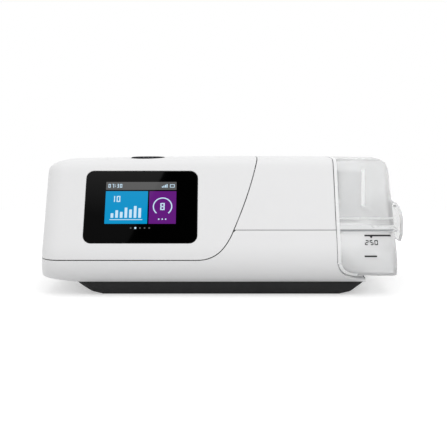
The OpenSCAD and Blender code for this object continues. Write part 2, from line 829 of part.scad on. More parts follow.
module motor_bearings() color(steel) {
    for (z = bearing_z) translate([blower_at[0], blower_at[1], z]) {
        tube(bearing_r, 4.3, bearing_h);
        tube(3.2, shaft_r + running_gap, bearing_h);
        translate([0, 0, 1]) tube(4.4, 3.1, 1.4);
    }
}

module rotor_shaft() color(steel) {
    translate([blower_at[0], blower_at[1], 0]) {
        translate([0, 0, 33]) cylinder(r = shaft_r, h = 23);
        translate([0, 0, 37]) cylinder(r = 7.3, h = 5.2);
    }
}

// Backward-curved blades on a disc with a dished hub
module impeller() color([0.85, 0.86, 0.88]) {
    r = impeller_d / 2;
    translate([blower_at[0], blower_at[1], 50]) {
        difference() {
            union() {
                cylinder(r = r, h = 1.2);
                cylinder(r = 6, h = 8.5);
                translate([0, 0, 8.5]) cylinder(r1 = 6, r2 = 3, h = 2);
                translate([0, 0, 1]) linear_extrude(7.4)
                    for (i = [0:blades - 1]) rotate(i * 360 / blades) blade(r - 0.3);
            }
            translate([0, 0, -1]) cylinder(r = shaft_r + 0.01, h = 7.2);
        }
    }
}

module blade(r) {
    bend = 19;
    intersection() {
        difference() {
            circle(r);
            circle(9);
        }
        translate([bend * 0.55, -bend * 0.72]) difference() {
            circle(bend);
            circle(bend - 0.9);
        }
        translate([0, -3]) square([r + 1, r + 1]);
    }
}

module blower_mount() color(silicone) {
    translate([blower_at[0], blower_at[1], 0]) {
        translate([0, 0, mount_z]) tube(can_r + 4, 12, motor_z - mount_z);
        for (i = [0:3]) rotate(45 + i * 90) translate([can_r, 0, base_h + wall])
            cylinder(r = 4, h = mount_z + 0.2 - base_h - wall);
    }
}

module blower_boot() color(silicone) {
    from = [nozzle_x - 7, blower_at[1] - volute_r - volute_growth - volute_wall, blower_z[0]];
    to = [nozzle_x, from[1] + nozzle_w + 2 * volute_wall, blower_z[1]];
    difference() {
        union() {
            box(from + [1, -2, -2], to + [4, 2, 2]);
            translate([nozzle_x + 3.5, port_in[0], port_in[1]]) rotate([0, 90, 0])
                cylinder(r = port_r + 1.9, h = liner_x - nozzle_x - 3.5);
        }
        box(from, to);
        translate([nozzle_x - 1, port_in[0], port_in[1]]) rotate([0, 90, 0])
            cylinder(r = port_r, h = 12);
    }
}

module flow_sensor() color(board_green) {
    z = blower_z[1] + 2;
    box([nozzle_x - 5.5, -34, z], [nozzle_x + 3.5, -20, z + 1.4]);
    box([nozzle_x - 3, -30, z + 1.4], [nozzle_x + 1.5, -23, z + 4.6]);
}

module outlet_elbow() color([0.6, 0.62, 0.65]) {
    translate([liner_x, port_out[0] + elbow_r, outlet_z]) rotate([0, 0, 180])
        rotate_extrude(angle = 90) translate([elbow_r, 0]) difference() {
            circle(port_out_r + 1.4);
            circle(port_out_r);
        }
}

module outlet_connector() color(base_black) {
    r = outlet_d / 2;
    translate([outlet_x, body_d / 2, outlet_z]) rotate([90, 0, 0]) difference() {
        union() {
            translate([0, 0, 0.6]) cylinder(r = r, h = 18);
            cylinder(r1 = r - 0.6, r2 = r, h = 0.6);
            translate([0, 0, 17.25]) cylinder(r = 15.5, h = 2);
            translate([0, 0, spigot_proud]) tube(15.5, 14.2, 16);
        }
        translate([0, 0, -1]) cylinder(r = port_out_r, h = 30);
    }
}

module bay_liner() color([0.84, 0.85, 0.86]) {
    difference() {
        union() {
            along_x(liner_x, liner_x + liner_t) intersection() {
                polygon(inset(side_profile, wall + lip_t + 0.1));
                translate([-80, base_h + wall]) square([134.2, 90]);
            }
            box([liner_x, 52, base_h + wall], [mouth_x - 1, 54.2, 86]);
            box([liner_x, -56, base_h + wall], [liner_x + liner_t, 52, base_h + wall + 3]);
        }
        translate([liner_x - 1, port_in[0], port_in[1]]) rotate([0, 90, 0])
            cylinder(r = port_r, h = 5);
        translate([liner_x - 1, port_out[0], port_out[1]]) rotate([0, 90, 0])
            cylinder(r = port_out_r, h = 5);
    }
}

module bay_port_seals() color(silicone) {
    x = liner_x + liner_t;
    for (p = [[port_in, port_r], [port_out, port_out_r]])
        translate([x, p[0][0], p[0][1]]) rotate([0, 90, 0]) {
            tube(p[1] + 4, p[1] + 0.5, 1.6);
            translate([0, 0, 1.6]) tube(p[1] + 2.4, p[1] + 0.8, tub_in - x - 2);
        }
}

module heater_mount() color([0.2, 0.2, 0.2]) {
    translate([plate_mid[0], plate_mid[1], 0]) {
        translate([0, 0, 8]) linear_extrude(base_h + wall - 8)
            rounded_rect(plate_size - [2.6, 4.6], 4.7);
        translate([0, 0, base_h + wall]) linear_extrude(0.6) rounded_rect(plate_size + [2, 0], 6);
    }
}

module heater_plate() color([0.75, 0.76, 0.78]) {
    translate([plate_mid[0], plate_mid[1], base_h + wall + 0.6])
        linear_extrude(tub_floor - 0.4 - base_h - wall - 0.6) rounded_rect(plate_size - [2, 4], 5);
}

module tub_side(t, rear, low, high) {
    intersection() {
        polygon(inset(side_profile, t));
        translate([-80, low]) square([80 + rear, high - low]);
    }
}

// The wide outer part of the tub, in X and Z, t inside its left and lower edges
tub_left = mouth_x + tub_mouth_gap;
tub_sill = curve([tub_left, 27], [tub_left, 19.5], [80.5, tub_floor], [tub_sill_x, tub_floor], 6);

module tub_region(low, high) {
    polygon([[130, high], [tub_left, high], [tub_left, low], [130, low]]);
}

module tub_base_region(t, high) {
    polygon(concat([[130, high], [tub_left + t, high]], shifted(tub_sill, [t, t]),
        [[130, tub_floor + t]]));
}

// Space inside each half of the tub, t inside the face of its walls
module base_space(t, high) {
    floor_z = tub_floor + tub_wall;
    along_x(tub_in + tub_wall + t, tub_sill_x + 3)
        tub_side(wall + bay_gap + tub_wall + t, tub_rear - tub_wall - t, floor_z, high);
    intersection() {
        along_x(tub_step_x + t, tub_end - tub_wall - 1 - t)
            tub_side(tub_wall + 0.2 + t, rear_y, floor_z, high);
        along_y() tub_base_region(tub_wall + t, high + 1);
    }
}

module lid_space(t, low) {
    along_x(tub_in + tub_wall + t, tub_step_x + t)
        tub_side(wall + bay_gap + tub_wall + t, tub_rear - tub_wall - t, low, tub_top - tub_wall);
    along_x(tub_step_x + t, tub_end - tub_wall - 2.8 - t)
        tub_side(tub_wall + 0.2 + t, rear_y, low, body_h);
}

module tub_base() color(clear_grey) {
    difference() {
        union() {
            intersection() {
                tub_form([60, 100]);
                along_y() tub_base_region(0, tub_joint);
            }
            along_x(tub_in, tub_sill_x + 2)
                tub_side(wall + bay_gap, tub_rear, tub_floor, tub_joint);
            box([tub_end - 3, -15, tub_joint - 3.2], [tub_end + 3.2, 15, tub_joint - 0.6]);
            for (y = [[-9, -3.4], [9.4, 15]]) hinge_knuckle(y, 1.7);
        }
        base_space(0, tub_joint - tub_rim_h);
        base_space(tub_rim_w, tub_joint + 4);
        translate([plate_mid[0], plate_mid[1], tub_floor - 1])
            linear_extrude(tub_wall + 2) rounded_rect(plate_size, 6);
        translate([hinge_x, -10, tub_joint + seal_t / 2]) rotate([-90, 0, 0])
            cylinder(r = 0.85, h = 26);
    }
}

module hinge_knuckle(y, r) {
    translate([hinge_x, y[0], tub_joint + seal_t / 2]) rotate([-90, 0, 0])
        cylinder(r = r, h = y[1] - y[0]);
    box([hinge_x, y[0], tub_joint - 3.6], [tub_in + 1, y[1], tub_joint - 0.8]);
}

module tub_heat_plate() color(steel) {
    translate([plate_mid[0], plate_mid[1], 0]) {
        translate([0, 0, tub_floor - 0.1])
            linear_extrude(tub_wall + 0.1) rounded_rect(plate_size - [0.4, 0.4], 5.8);
        translate([0, 0, tub_floor + tub_wall]) linear_extrude(0.8)
            rounded_rect(plate_size + [3, 3], 7);
    }
}

// Plan outline of the tub's rim, t inside its outer wall
module rim_outline(t) {
    front_in = -56;
    union() {
        translate([tub_in + t, front_in + t])
            square([mouth_x + 6 - tub_in, tub_rear - front_in - 2 * t]);
        translate([mouth_x + tub_mouth_gap + t, -60.2 + t])
            square([tub_end - 2.4 - mouth_x - tub_mouth_gap - 2 * t, rear_y + 58.8 - 2 * t]);
    }
}

module tub_seal() color(silicone) {
    translate([0, 0, tub_joint]) linear_extrude(seal_t) difference() {
        rim_outline(0.4);
        rim_outline(1.9);
    }
}

module tub_lid() color(clear_grey) {
    low = tub_joint + seal_t;
    difference() {
        union() {
            intersection() {
                tub_form([60, 80, 100]);
                along_y() tub_region(low, 120);
            }
            along_x(tub_in, tub_step_x - 0.3)
                tub_side(wall + bay_gap, tub_rear, low, tub_top);
            for (side = [-1, 1]) along_y(side * 19.7 - 1.3, side * 19.7 + 1.3)
                polygon([[tub_end - 4.2, latch_pivot[1] - 4], [latch_pivot[0] + 1.4, latch_pivot[1] - 2],
                    [latch_pivot[0] + 2, latch_pivot[1]], [latch_pivot[0] + 1.4, latch_pivot[1] + 2],
                    [tub_end - 4.2, latch_pivot[1] + 5]]);
            translate([hinge_x, -3, low - seal_t / 2]) rotate([-90, 0, 0]) cylinder(r = 1.7, h = 12);
            translate([hinge_x, -8.6, low - seal_t / 2]) rotate([-90, 0, 0])
                cylinder(r = 0.8, h = 23.2);
            box([hinge_x, -3, low + 0.2], [tub_in + 1, 9, low + 3]);
        }
        lid_space(0, low + tub_rim_h);
        lid_space(tub_rim_w, low - 4);
        translate([tub_in - 1, port_in[0], port_in[1]]) rotate([0, 90, 0])
            cylinder(r = port_r, h = tub_wall + 2);
        translate([tub_in - 1, port_out[0], port_out[1]]) rotate([0, 90, 0])
            cylinder(r = port_out_r, h = tub_wall + 2);
        translate([0, 30, latch_pivot[1]]) translate([latch_pivot[0], 0, 0]) rotate([90, 0, 0])
            cylinder(r = pin_r + running_gap, h = 60);
    }
}

// Duct inside the lid that carries air out over the water
module tub_air_duct() color([0.7, 0.73, 0.75, 0.7]) {
    t = 1.6;
    half_w = 10;
    from = [tub_in + tub_wall, port_in[0] + 1 - half_w, port_in[1] - 9];
    to = [97, port_in[0] + 1 + half_w, port_in[1] + 9];
    step_x = 80.5;
    duct_top = 85;
    difference() {
        union() {
            box(from, to);
            box([step_x, from[1], from[2] + 6], [to[0], to[1], duct_top]);
        }
        box(from + [-1, t, t], [step_x + t, to[1] - t, to[2] - t]);
        box([step_x + t, from[1] + t, from[2] - 8], [to[0] - t, to[1] - t, duct_top - t]);
    }
}

latch_outer = [[120, 62.8], [124.6, 61], [128.2, 56], [129.7, 49], [129.7, 38], [128.4, 33]];

module tub_latch() color(clear_grey) {
    profile = concat(latch_outer, [[126.4, 33.2], [127.4, 38.4], [127.4, 48.6], [126.2, 54.6],
        [123.2, 58.8], [120, 59.4]]);
    difference() {
        union() {
            along_y(-latch_w / 2, latch_w / 2) polygon(profile);
            along_y(-14, 14)
                polygon([[119.4, 38.4], [127.6, 38.4], [127.6, 41.2], [119.4, 41.2]]);
            translate([latch_pivot[0], 18, latch_pivot[1]]) rotate([90, 0, 0])
                cylinder(r = 1.9, h = 36);
        }
        for (side = [-1, 1])
            box([110, side > 0 ? 18 : -40, 56], [latch_pivot[0] + 3.4, side > 0 ? 40 : -18, 70]);
    }
    translate([latch_pivot[0], 20.6, latch_pivot[1]]) rotate([90, 0, 0])
        cylinder(r = pin_r, h = 41.2);
}

main_cover();
bay_cover();
lower_housing();
base_pan();
rear_panel();
rubber_feet();
base_screws();
screen_glass();
screen_gasket();
display_module();
display_ribbon();
start_button();
button_light_guide();
button_board();
main_board();
wireless_module();
card_reader();
memory_card();
card_cover();
power_inlet();
retention_clip();
adapter_cover();
filter_cover();
air_filter();
intake_muffler();
muffler_foam();
intake_duct();
blower_cover();
blower_base();
motor_housing();
motor_stator();
stator_coils();
motor_bearings();
rotor_shaft();
impeller();
blower_mount();
blower_boot();
flow_sensor();
outlet_elbow();
outlet_connector();
bay_liner();
bay_port_seals();
heater_mount();
heater_plate();
tub_base();
tub_heat_plate();
tub_seal();
tub_lid();
tub_air_duct();
tub_latch();
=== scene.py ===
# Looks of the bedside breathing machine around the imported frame. Blender 4.5, metres.
# Shapes are worked out in millimetres, with the same formulas as the solids, and scaled at the end.
import json
import math
from collections import namedtuple

import bmesh
import bpy
import numpy as np
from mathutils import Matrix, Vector
from mathutils.geometry import delaunay_2d_cdt


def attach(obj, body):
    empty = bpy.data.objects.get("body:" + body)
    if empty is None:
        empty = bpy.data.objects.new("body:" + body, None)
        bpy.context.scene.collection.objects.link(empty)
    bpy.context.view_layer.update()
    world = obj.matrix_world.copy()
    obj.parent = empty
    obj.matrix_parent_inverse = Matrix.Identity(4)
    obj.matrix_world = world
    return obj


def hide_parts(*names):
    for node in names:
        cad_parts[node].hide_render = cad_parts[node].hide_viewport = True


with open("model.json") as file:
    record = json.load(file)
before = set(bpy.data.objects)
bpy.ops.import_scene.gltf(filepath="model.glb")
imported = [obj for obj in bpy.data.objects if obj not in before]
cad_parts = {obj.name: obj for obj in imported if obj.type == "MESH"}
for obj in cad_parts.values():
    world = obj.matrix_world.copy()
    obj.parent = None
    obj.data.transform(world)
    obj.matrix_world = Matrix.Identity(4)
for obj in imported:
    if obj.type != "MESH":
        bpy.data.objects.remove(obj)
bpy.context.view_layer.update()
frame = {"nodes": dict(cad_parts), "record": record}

scene = bpy.context.scene
MM = 0.001

# Body form, in millimetres, as the solids have it
BODY_W = 259.4
BODY_H = 94.5
BODY_D = 138.5
BASE_H = 9.5
FULL_H = BODY_H - BASE_H
BODY_MIDDLE = np.array([0.0, 0.0, 47.0])
LEFT_X = -BODY_W / 2
FRONT_Y = -BODY_D / 2
REAR_Y = BODY_D / 2 - 3.25

# Side profile, in Y and Z: foot, bulge, sloping face, crest, top and rear
FRONT_FOOT = np.array([-60.0, BASE_H])
BULGE_KNEE = (FRONT_Y - 2.4, 16.2)
BULGE_PULL = 12.1
FACE_FOOT = np.array([FRONT_Y + 3.75, 36.0])
FACE_HEAD = np.array([FRONT_Y + 30.55, 88.6])
LEAN_DIR = (FACE_HEAD - FACE_FOOT) / np.linalg.norm(FACE_HEAD - FACE_FOOT)
FACE_OUT = np.array([0.0, -LEAN_DIR[1], LEAN_DIR[0]])
HEAD_PULL = 4.5
CREST_DROP = 0.4
CREST_PULL = (5.5, 0.3)
FRONT_CREST = np.array([-29.0, BODY_H - CREST_DROP])
TOP_APEX_Y = -12.0
TOP_FRONT_SPAN = 17
TOP_REAR_SPAN = 72
TOP_REAR_DROP = 5.0
TOP_END_Y = 44.0
REAR_TOP_R = 8.0
REAR_TOP_LIFT = 0.4
REAR_TURN = 85.0
REAR_CUT = 4

# The top falls a little toward both ends, and the skin lies a hair under the solids there
CROWN = 1.8
CROWN_X = 15.0
CROWN_SPAN = 130
CROWN_FROM = 86.0
SKIN_DIP = 0.04

# Rounded ends: place, side, radii along X, Y and Z, draft and the length that blends it out
End = namedtuple("End", "place side radii draft blend")
LEFT_END = End(LEFT_X, -1, (14.0, 16.0, 9.0), 1.6, 20.0)
TUB_END = End(118.3, 1, (6.0, 5.0, 8.0), 2.7, 12.3)
QUARTER = math.pi / 2

# Seams and openings, in X and Z
SEAM_GAP = 0.45
COVER_GAP = 0.65
SEAM_Z = 25.6
BAY_SEAM_Z = 45.5
MOUTH_X = 75.75
SILL_X = 97.0
UNDERSIDE_X = -104.0
UNDERSIDE_RISE = 0.16
UNDERSIDE_Y = (-58.0, 60.0)
PANEL_LOW = (-114.2, 16.8)
PANEL_HIGH = (24.2, 80.2)
PANEL_R = 6.2
GLASS_SIZE = (78.7, 54.0)
GLASS_R = 5.6
GLASS_GAP = 0.25
GLASS_X = -59.6
GLASS_Z = 61.3
RECESS = 1.8
BUTTON_X = -57.5
BUTTON_Y = -15.5
BUTTON_TOP = 94.3
WELL_R = 12.9
WELL_Z = 85.8
WELL_POINTS = 48
TOP_ONLY_Z = 90
CARD_Y = (-33.6, -2.4)
CARD_Z = (14.2, 24.4)
HEATER_SIZE = (54.0, 68.0)
HEATER_R = 5
HEATER_MID = (47.5, -6.0)

# Walls and edges of the shells, the finished copies and the tub's strips, with angles in degrees
SHELL_T = 2.4
SHELL_BEVEL = 0.35
SHELL_SHARP = 32
SHELL_WELD = 0.02
SHELL_CLAMP = 1.5
COPY_WELD = 0.004
COPY_SHARP = 34
COPY_FLAT = 0.4
STRIP_SHARP = 50
BEVEL_ANGLE = 40

# Joining triangles to quads: the most that they may be out of plane and out of square, in radians
JOIN_ANGLE = 0.05
JOIN_SHAPE = 0.9

# Upper rim of the base: how far its ends are drawn out, and between which distances from the middle
RIM_OUT = (4.3, 2.9)
RIM_FROM = 60.0
RIM_FULL = 88.0

# Trim and print of the tub: corners in X and Z, and beads with their lowest and highest Z and lift
TUB_LEFT = 76.3
TUB_FLOOR = 14.8
TUB_SILL_X = 90.0
# The rim band is a thin frosted white strip whose whiteness is a painted highlight on the rim's
# rounded edge: its width and its lifts
RIM_W = 2.1
RIM_LIFT = (-0.08, 0.12)
TUB_BEADS = ((46.1, 48.8, 0.4), (52.7, 54.0, 0.3))
BEAD_ROUND = 0.4
BEAD_ROOT = -0.1
# The rib is a thin frosted white strip whose brightness is a painted highlight line: its lower and
# upper corners in X and Z, and its lean
RIB_HIGHLIGHT = ((94.2, 61.5), (96.3, 86.8))
RIB_LEAN = 0.07
UPPER_MARK = ((95.1, 41.65), (114.3, 42.7))
LOWER_MARK = ((94.5, 28.1), (103.2, 29.15))
POINTER_X = 4.6
POINTER_GAP = 0.05
POINTER_HALF = 1.1
POINTER_DEPTH = 1.4
FILL_NUMBER_DROP = 5.7

# Distances between points, and how a filled outline is divided; NO_STEP leaves it undivided
MESH_STEP = 2.5
FLOOR_STEP = 5.0
CREASE_STEP = 4
END_STEP = 1.5
CORNER_STEP = 1.0
TUB_STEP = 0.8
BAND_STEP = 0.5
DOT_STEP = 0.4
NO_STEP = 100.0
RIM_PROBE = 0.2
PRINT_PROBE = 0.5
MOST_ROUND = 0.45
DOUBLED = 1e-6
GRID_CLEAR = 0.62
INSIDE_ONLY = 1
CDT_REACH = 1e-5


# Curves and the side profile

def curve(a, b, c, d, steps):
    """Points of a cubic Bezier curve."""
    t = np.linspace(0.0, 1.0, steps + 1)[:, None]
    a, b, c, d = (np.asarray(p, float) for p in (a, b, c, d))
    return (1 - t) ** 3 * a + 3 * (1 - t) ** 2 * t * b + 3 * (1 - t) * t * t * c + t ** 3 * d


def top_z(y):
    """Height of the top surface above the table at depth y."""
    y = np.asarray(y, float)
    behind = BODY_H - TOP_REAR_DROP * ((y - TOP_APEX_Y) / TOP_REAR_SPAN) ** 2
    before = BODY_H - CREST_DROP * ((y - TOP_APEX_Y) / TOP_FRONT_SPAN) ** 2
    return np.where(y > TOP_APEX_Y, behind, before)


def side_profile():
    """Y and Z from the front foot up the face, over the top and down to the rear foot."""
    bulge = curve(FACE_FOOT, FACE_FOOT - BULGE_PULL * LEAN_DIR, BULGE_KNEE, FRONT_FOOT, 36)
    crest = curve(FRONT_CREST, FRONT_CREST - CREST_PULL, FACE_HEAD + HEAD_PULL * LEAN_DIR,
                  FACE_HEAD, 24)
    top_y = np.linspace(FRONT_CREST[0], TOP_END_Y, 40)[1:]
    top = np.column_stack([top_y, top_z(top_y)])
    mid_y = REAR_Y - REAR_TOP_R
    mid_z = float(top_z(mid_y)) - REAR_TOP_R + REAR_TOP_LIFT
    turn = np.radians(np.linspace(REAR_TURN, 0.0, 18))
    arc = np.column_stack([mid_y + REAR_TOP_R * np.cos(turn), mid_z + REAR_TOP_R * np.sin(turn)])
    rear = np.array([[REAR_Y, BASE_H + REAR_CUT], [REAR_Y - REAR_CUT, BASE_H]])
    return np.vstack([bulge[::-1], crest[::-1], top, arc, rear])


def without_doubles(profile):
    """The profile without doubled points, and the arc length at each point that is left."""
    steps = np.linalg.norm(np.diff(profile, axis=0), axis=1)
    kept = np.concatenate([[True], steps > DOUBLED])
    return profile[kept], np.concatenate([[0.0], np.cumsum(steps)])[kept]


PROFILE, ARC = without_doubles(side_profile())
APEX = int(np.argmax(PROFILE[:, 1]))


def s_front(z):
    """Arc length at which the front of the profile reaches height z."""
    return np.interp(z, PROFILE[:APEX, 1], ARC[:APEX])


def s_rear(z):
    """Arc length at which the rear of the profile comes down to height z."""
    return np.interp(z, PROFILE[APEX:, 1][::-1], ARC[APEX:][::-1])


def height(s):
    """Height of the profile at arc length s."""
    return np.interp(s, ARC, PROFILE[:, 1])


def end_terms(c, end):
    """How far column c lies in a rounded end: its sinking share, its bare X and its draft."""
    start = end.place - end.side * end.radii[0]
    past = end.side * (np.asarray(c, float) - start)
    turn = QUARTER * (1 - np.clip(past / (QUARTER * end.radii[0]), 0, 1))
    round_x = end.place - end.side * end.radii[0] * (1 - np.cos(turn))
    bare_x = np.where(past > 0, round_x, c)
    share = end.draft * np.clip(1 + past / end.blend, 0, 1)
    return 1 - np.sin(turn), bare_x, share


def surface(c, s, end):
    """Points of the outer form, where c runs across and round the end, and s along the profile."""
    s = np.asarray(s, float)
    sink, bare_x, share = end_terms(c, end)
    y = np.interp(s, ARC, PROFILE[:, 0]) * (1 - end.radii[1] * sink / REAR_Y)
    z = BASE_H + (height(s) - BASE_H) * (1 - end.radii[2] * sink / FULL_H)
    x = bare_x - end.side * share * (z - BASE_H) / FULL_H
    near_top = np.clip((z - CROWN_FROM) / (BODY_H - CROWN_FROM), 0, 1)
    z = z - CROWN * ((x - CROWN_X) / CROWN_SPAN) ** 2 * near_top - SKIN_DIP * near_top
    return np.column_stack([np.broadcast_to(x, y.shape), y, z])


def level(c, z, s_of_z, end):
    """Arc length at which column c stands at height z."""
    sink = end_terms(c, end)[0]
    z = np.asarray(z, float)
    return s_of_z(BASE_H + (z - BASE_H) / (1 - end.radii[2] * sink / FULL_H))


def column(x, z, end):
    """The column that passes X at height z, away from the rounded stretch itself."""
    c = np.array(x, float)
    for _ in range(6):
        share = end_terms(c, end)[2]
        c = x + end.side * share * (z - BASE_H) / FULL_H
    return c


# Lines and outlines in two dimensions

def run(a, b, step=MESH_STEP):
    """Points from a up to, but without, b."""
    a, b = np.asarray(a, float), np.asarray(b, float)
    n = max(1, int(math.ceil(np.linalg.norm(b - a) / step)))
    return a + (b - a) * (np.arange(n) / n)[:, None]


def even(points, step=MESH_STEP):
    """A polyline with points at even distances, both ends kept."""
    points = np.asarray(points, float)
    far = np.concatenate([[0.0], np.cumsum(np.linalg.norm(np.diff(points, axis=0), axis=1))])
    n = max(1, int(round(far[-1] / step)))
    at = np.linspace(0.0, far[-1], n + 1)
    return np.column_stack([np.interp(at, far, points[:, k]) for k in range(2)])


def joined(*lines):
    """One closed loop out of lines that each end where the next begins."""
    return np.vstack([line[:-1] for line in lines])


def sideways(line):
    """Unit steps to the right of the way that a line runs, at each of its points."""
    ahead = np.gradient(line, axis=0)
    ahead = ahead / np.linalg.norm(ahead, axis=1)[:, None]
    return np.column_stack([ahead[:, 1], -ahead[:, 0]])


def arc_line(mid, r, start, stop, step=MESH_STEP):
    """Points of an arc, with its angles in degrees."""
    n = max(4, int(math.ceil(abs(math.radians(stop - start)) * r / step)))
    a = np.radians(np.linspace(start, stop, n + 1))
    return np.column_stack([mid[0] + r * np.cos(a), mid[1] + r * np.sin(a)])


def dot(mid, r):
    """A small circle, as a loop."""
    return arc_line(mid, r, 0, 360, DOT_STEP)[:-1]


def rounded_rect(size, r, step=MESH_STEP):
    """A closed loop round the origin."""
    x, y = size[0] / 2 - r, size[1] / 2 - r
    corners = [arc_line((sx * x, sy * y), r, a, a + 90, CORNER_STEP)
               for sx, sy, a in [(1, 1, 0), (-1, 1, 90), (-1, -1, 180), (1, -1, 270)]]
    parts = []
    for k, corner in enumerate(corners):
        parts += [corner[:-1], run(corner[-1], corners[(k + 1) % 4][0], step)]
    return np.vstack(parts)


def block(x0, y0, x1, y1, r=0.3):
    """A rectangle with small round corners, as a loop."""
    mid = np.array([(x0 + x1) / 2, (y0 + y1) / 2])
    r = min(r, MOST_ROUND * (x1 - x0), MOST_ROUND * (y1 - y0))
    return rounded_rect((x1 - x0, y1 - y0), r, NO_STEP) + mid


def arc_band(mid, r, stroke, start, stop):
    """A band along an arc, as a loop."""
    outer = arc_line(mid, r + stroke / 2, start, stop, BAND_STEP)
    return np.vstack([outer, arc_line(mid, r - stroke / 2, stop, start, BAND_STEP)])


def thin_line(low, high):
    """A level bar with points close together, so that it follows a rounded wall."""
    corners = [low, (high[0], low[1]), high, (low[0], high[1])]
    return np.vstack([run(corners[k], corners[(k + 1) % 4], TUB_STEP) for k in range(4)])


def inside(points, loops):
    """Even-odd test of points against all loops together."""
    px, py = points[:, 0], points[:, 1]
    odd = np.zeros(len(points), bool)
    for loop in loops:
        ax, ay = loop[:, 0], loop[:, 1]
        bx, by = np.roll(ax, -1), np.roll(ay, -1)
        for k in range(len(loop)):
            if ay[k] == by[k]:
                continue
            crosses = (ay[k] > py) != (by[k] > py)
            x_cut = ax[k] + (py - ay[k]) * (bx[k] - ax[k]) / (by[k] - ay[k])
            odd ^= crosses & (px < x_cut)
    return odd


def grid_inside(rim, loops, step):
    """An even grid of points inside the loops that keeps clear of the rim's points."""
    low, high = rim.min(0), rim.max(0)
    counts = np.maximum(1, np.round((high - low) / step).astype(int))
    gx = low[0] + (np.arange(counts[0]) + 0.5) * (high[0] - low[0]) / counts[0]
    gy = low[1] + (np.arange(counts[1]) + 0.5) * (high[1] - low[1]) / counts[1]
    grid = np.column_stack([a.ravel() for a in np.meshgrid(gx, gy)])
    grid = grid[inside(grid, loops)]
    near = np.full(len(grid), np.inf)
    for p in rim:
        near = np.minimum(near, np.hypot(grid[:, 0] - p[0], grid[:, 1] - p[1]))
    return grid[near > GRID_CLEAR * step]


def filled(loops, step=MESH_STEP, creases=()):
    """Triangles inside the first loop and outside the others, with an even grid of points."""
    rim = np.vstack(list(loops) + list(creases))
    points = np.vstack([rim, grid_inside(rim, loops, step)])
    edges = []
    at = 0
    for loop in loops:
        n = len(loop)
        edges += [(at + k, at + (k + 1) % n) for k in range(n)]
        at += n
    for crease in creases:
        edges += [(at + k, at + k + 1) for k in range(len(crease) - 1)]
        at += len(crease)
    found = delaunay_2d_cdt([Vector(p) for p in points], edges, [], INSIDE_ONLY, CDT_REACH)
    verts = np.array([tuple(v) for v in found[0]])
    tris = np.array([f for f in found[2] if len(f) == 3])
    for hole in loops[1:]:
        tris = tris[~inside(verts[tris].mean(1), [hole])]
    return verts, tris


# Meshes and objects

def new_mesh(name, verts, faces):
    """A mesh out of points in millimetres."""
    mesh = bpy.data.meshes.new(name)
    mesh.from_pydata((np.asarray(verts, float) * MM).tolist(), [], faces)
    return mesh


def new_object(name, data):
    """An object of the scene around a mesh, a camera or a light."""
    made = bpy.data.objects.new(name, data)
    scene.collection.objects.link(made)
    return made


def smooth(mesh, angle):
    """Smooth shading, except at edges that turn by more than angle."""
    mesh.shade_smooth()
    mesh.set_sharp_from_angle(angle=math.radians(angle))


def add_bevel(piece, width, segments=3, angle=BEVEL_ANGLE):
    """Rounds the edges that turn by more than angle."""
    bevel = piece.modifiers.new("edge", "BEVEL")
    bevel.width = width * MM
    bevel.segments = segments
    bevel.limit_method = "ANGLE"
    bevel.angle_limit = math.radians(angle)
    bevel.harden_normals = True
    bevel.use_clamp_overlap = True


class Skin:
    """Collects patches of one shell, in millimetres, and makes its object."""

    def __init__(self):
        self.verts = []
        self.faces = []
        self.count = 0

    def add(self, verts, faces, outward):
        """Adds a patch, turned so that its faces look along outward on average."""
        verts = np.asarray(verts, float)
        faces = np.asarray(faces, int)
        a, b, c = (verts[faces[:, k]] for k in range(3))
        if np.sum(np.cross(b - a, c - a) * outward(a)) < 0:
            faces = faces[:, ::-1]
        self.verts.append(verts)
        self.faces += [tuple(int(i) + self.count for i in f) for f in faces]
        self.count += len(verts)

    def add_outer(self, loops):
        """Adds a patch of the outer form, inside the first loop of columns and arc lengths."""
        verts, faces = filled(loops)
        self.add(surface(verts[:, 0], verts[:, 1], LEFT_END), faces, lambda p: p - BODY_MIDDLE)

    def add_band(self, a, b):
        """Adds a band between two closed rows of points, facing the middle of the hole."""
        n = len(a)
        faces = []
        for k in range(n):
            j = (k + 1) % n
            faces += [(k, j, n + k), (j, n + j, n + k)]
        self.add(np.vstack([a, b]), faces, lambda p: a.mean(0) - p)

    def add_left_end(self, loops):
        """Adds the flat left end wall, inside the first loop in Y and Z and round the others."""
        verts, faces = filled(loops)
        x = LEFT_X + LEFT_END.draft * (verts[:, 1] - BASE_H) / FULL_H
        self.add(np.column_stack([x, verts]), faces, lambda p: np.array([-1.0, 0, 0]))

    def object(self, node, body, slot):
        """The shell that stands for a node, with a wall of even thickness."""
        mesh = new_mesh(node + "_shell", np.vstack(self.verts), self.faces)
        bm = bmesh.new()
        bm.from_mesh(mesh)
        bmesh.ops.remove_doubles(bm, verts=bm.verts, dist=SHELL_WELD * MM)
        bmesh.ops.join_triangles(bm, faces=bm.faces, angle_face_threshold=JOIN_ANGLE,
                                 angle_shape_threshold=JOIN_SHAPE)
        bm.to_mesh(mesh)
        bm.free()
        piece = new_object(node + "_shell", mesh)
        wall = piece.modifiers.new("wall", "SOLIDIFY")
        wall.thickness = SHELL_T * MM
        wall.offset = -1
        wall.use_even_offset = True
        wall.thickness_clamp = SHELL_CLAMP
        add_bevel(piece, SHELL_BEVEL)
        smooth(mesh, SHELL_SHARP)
        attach(piece, body)
        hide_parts(node)
        paint(piece, slot)


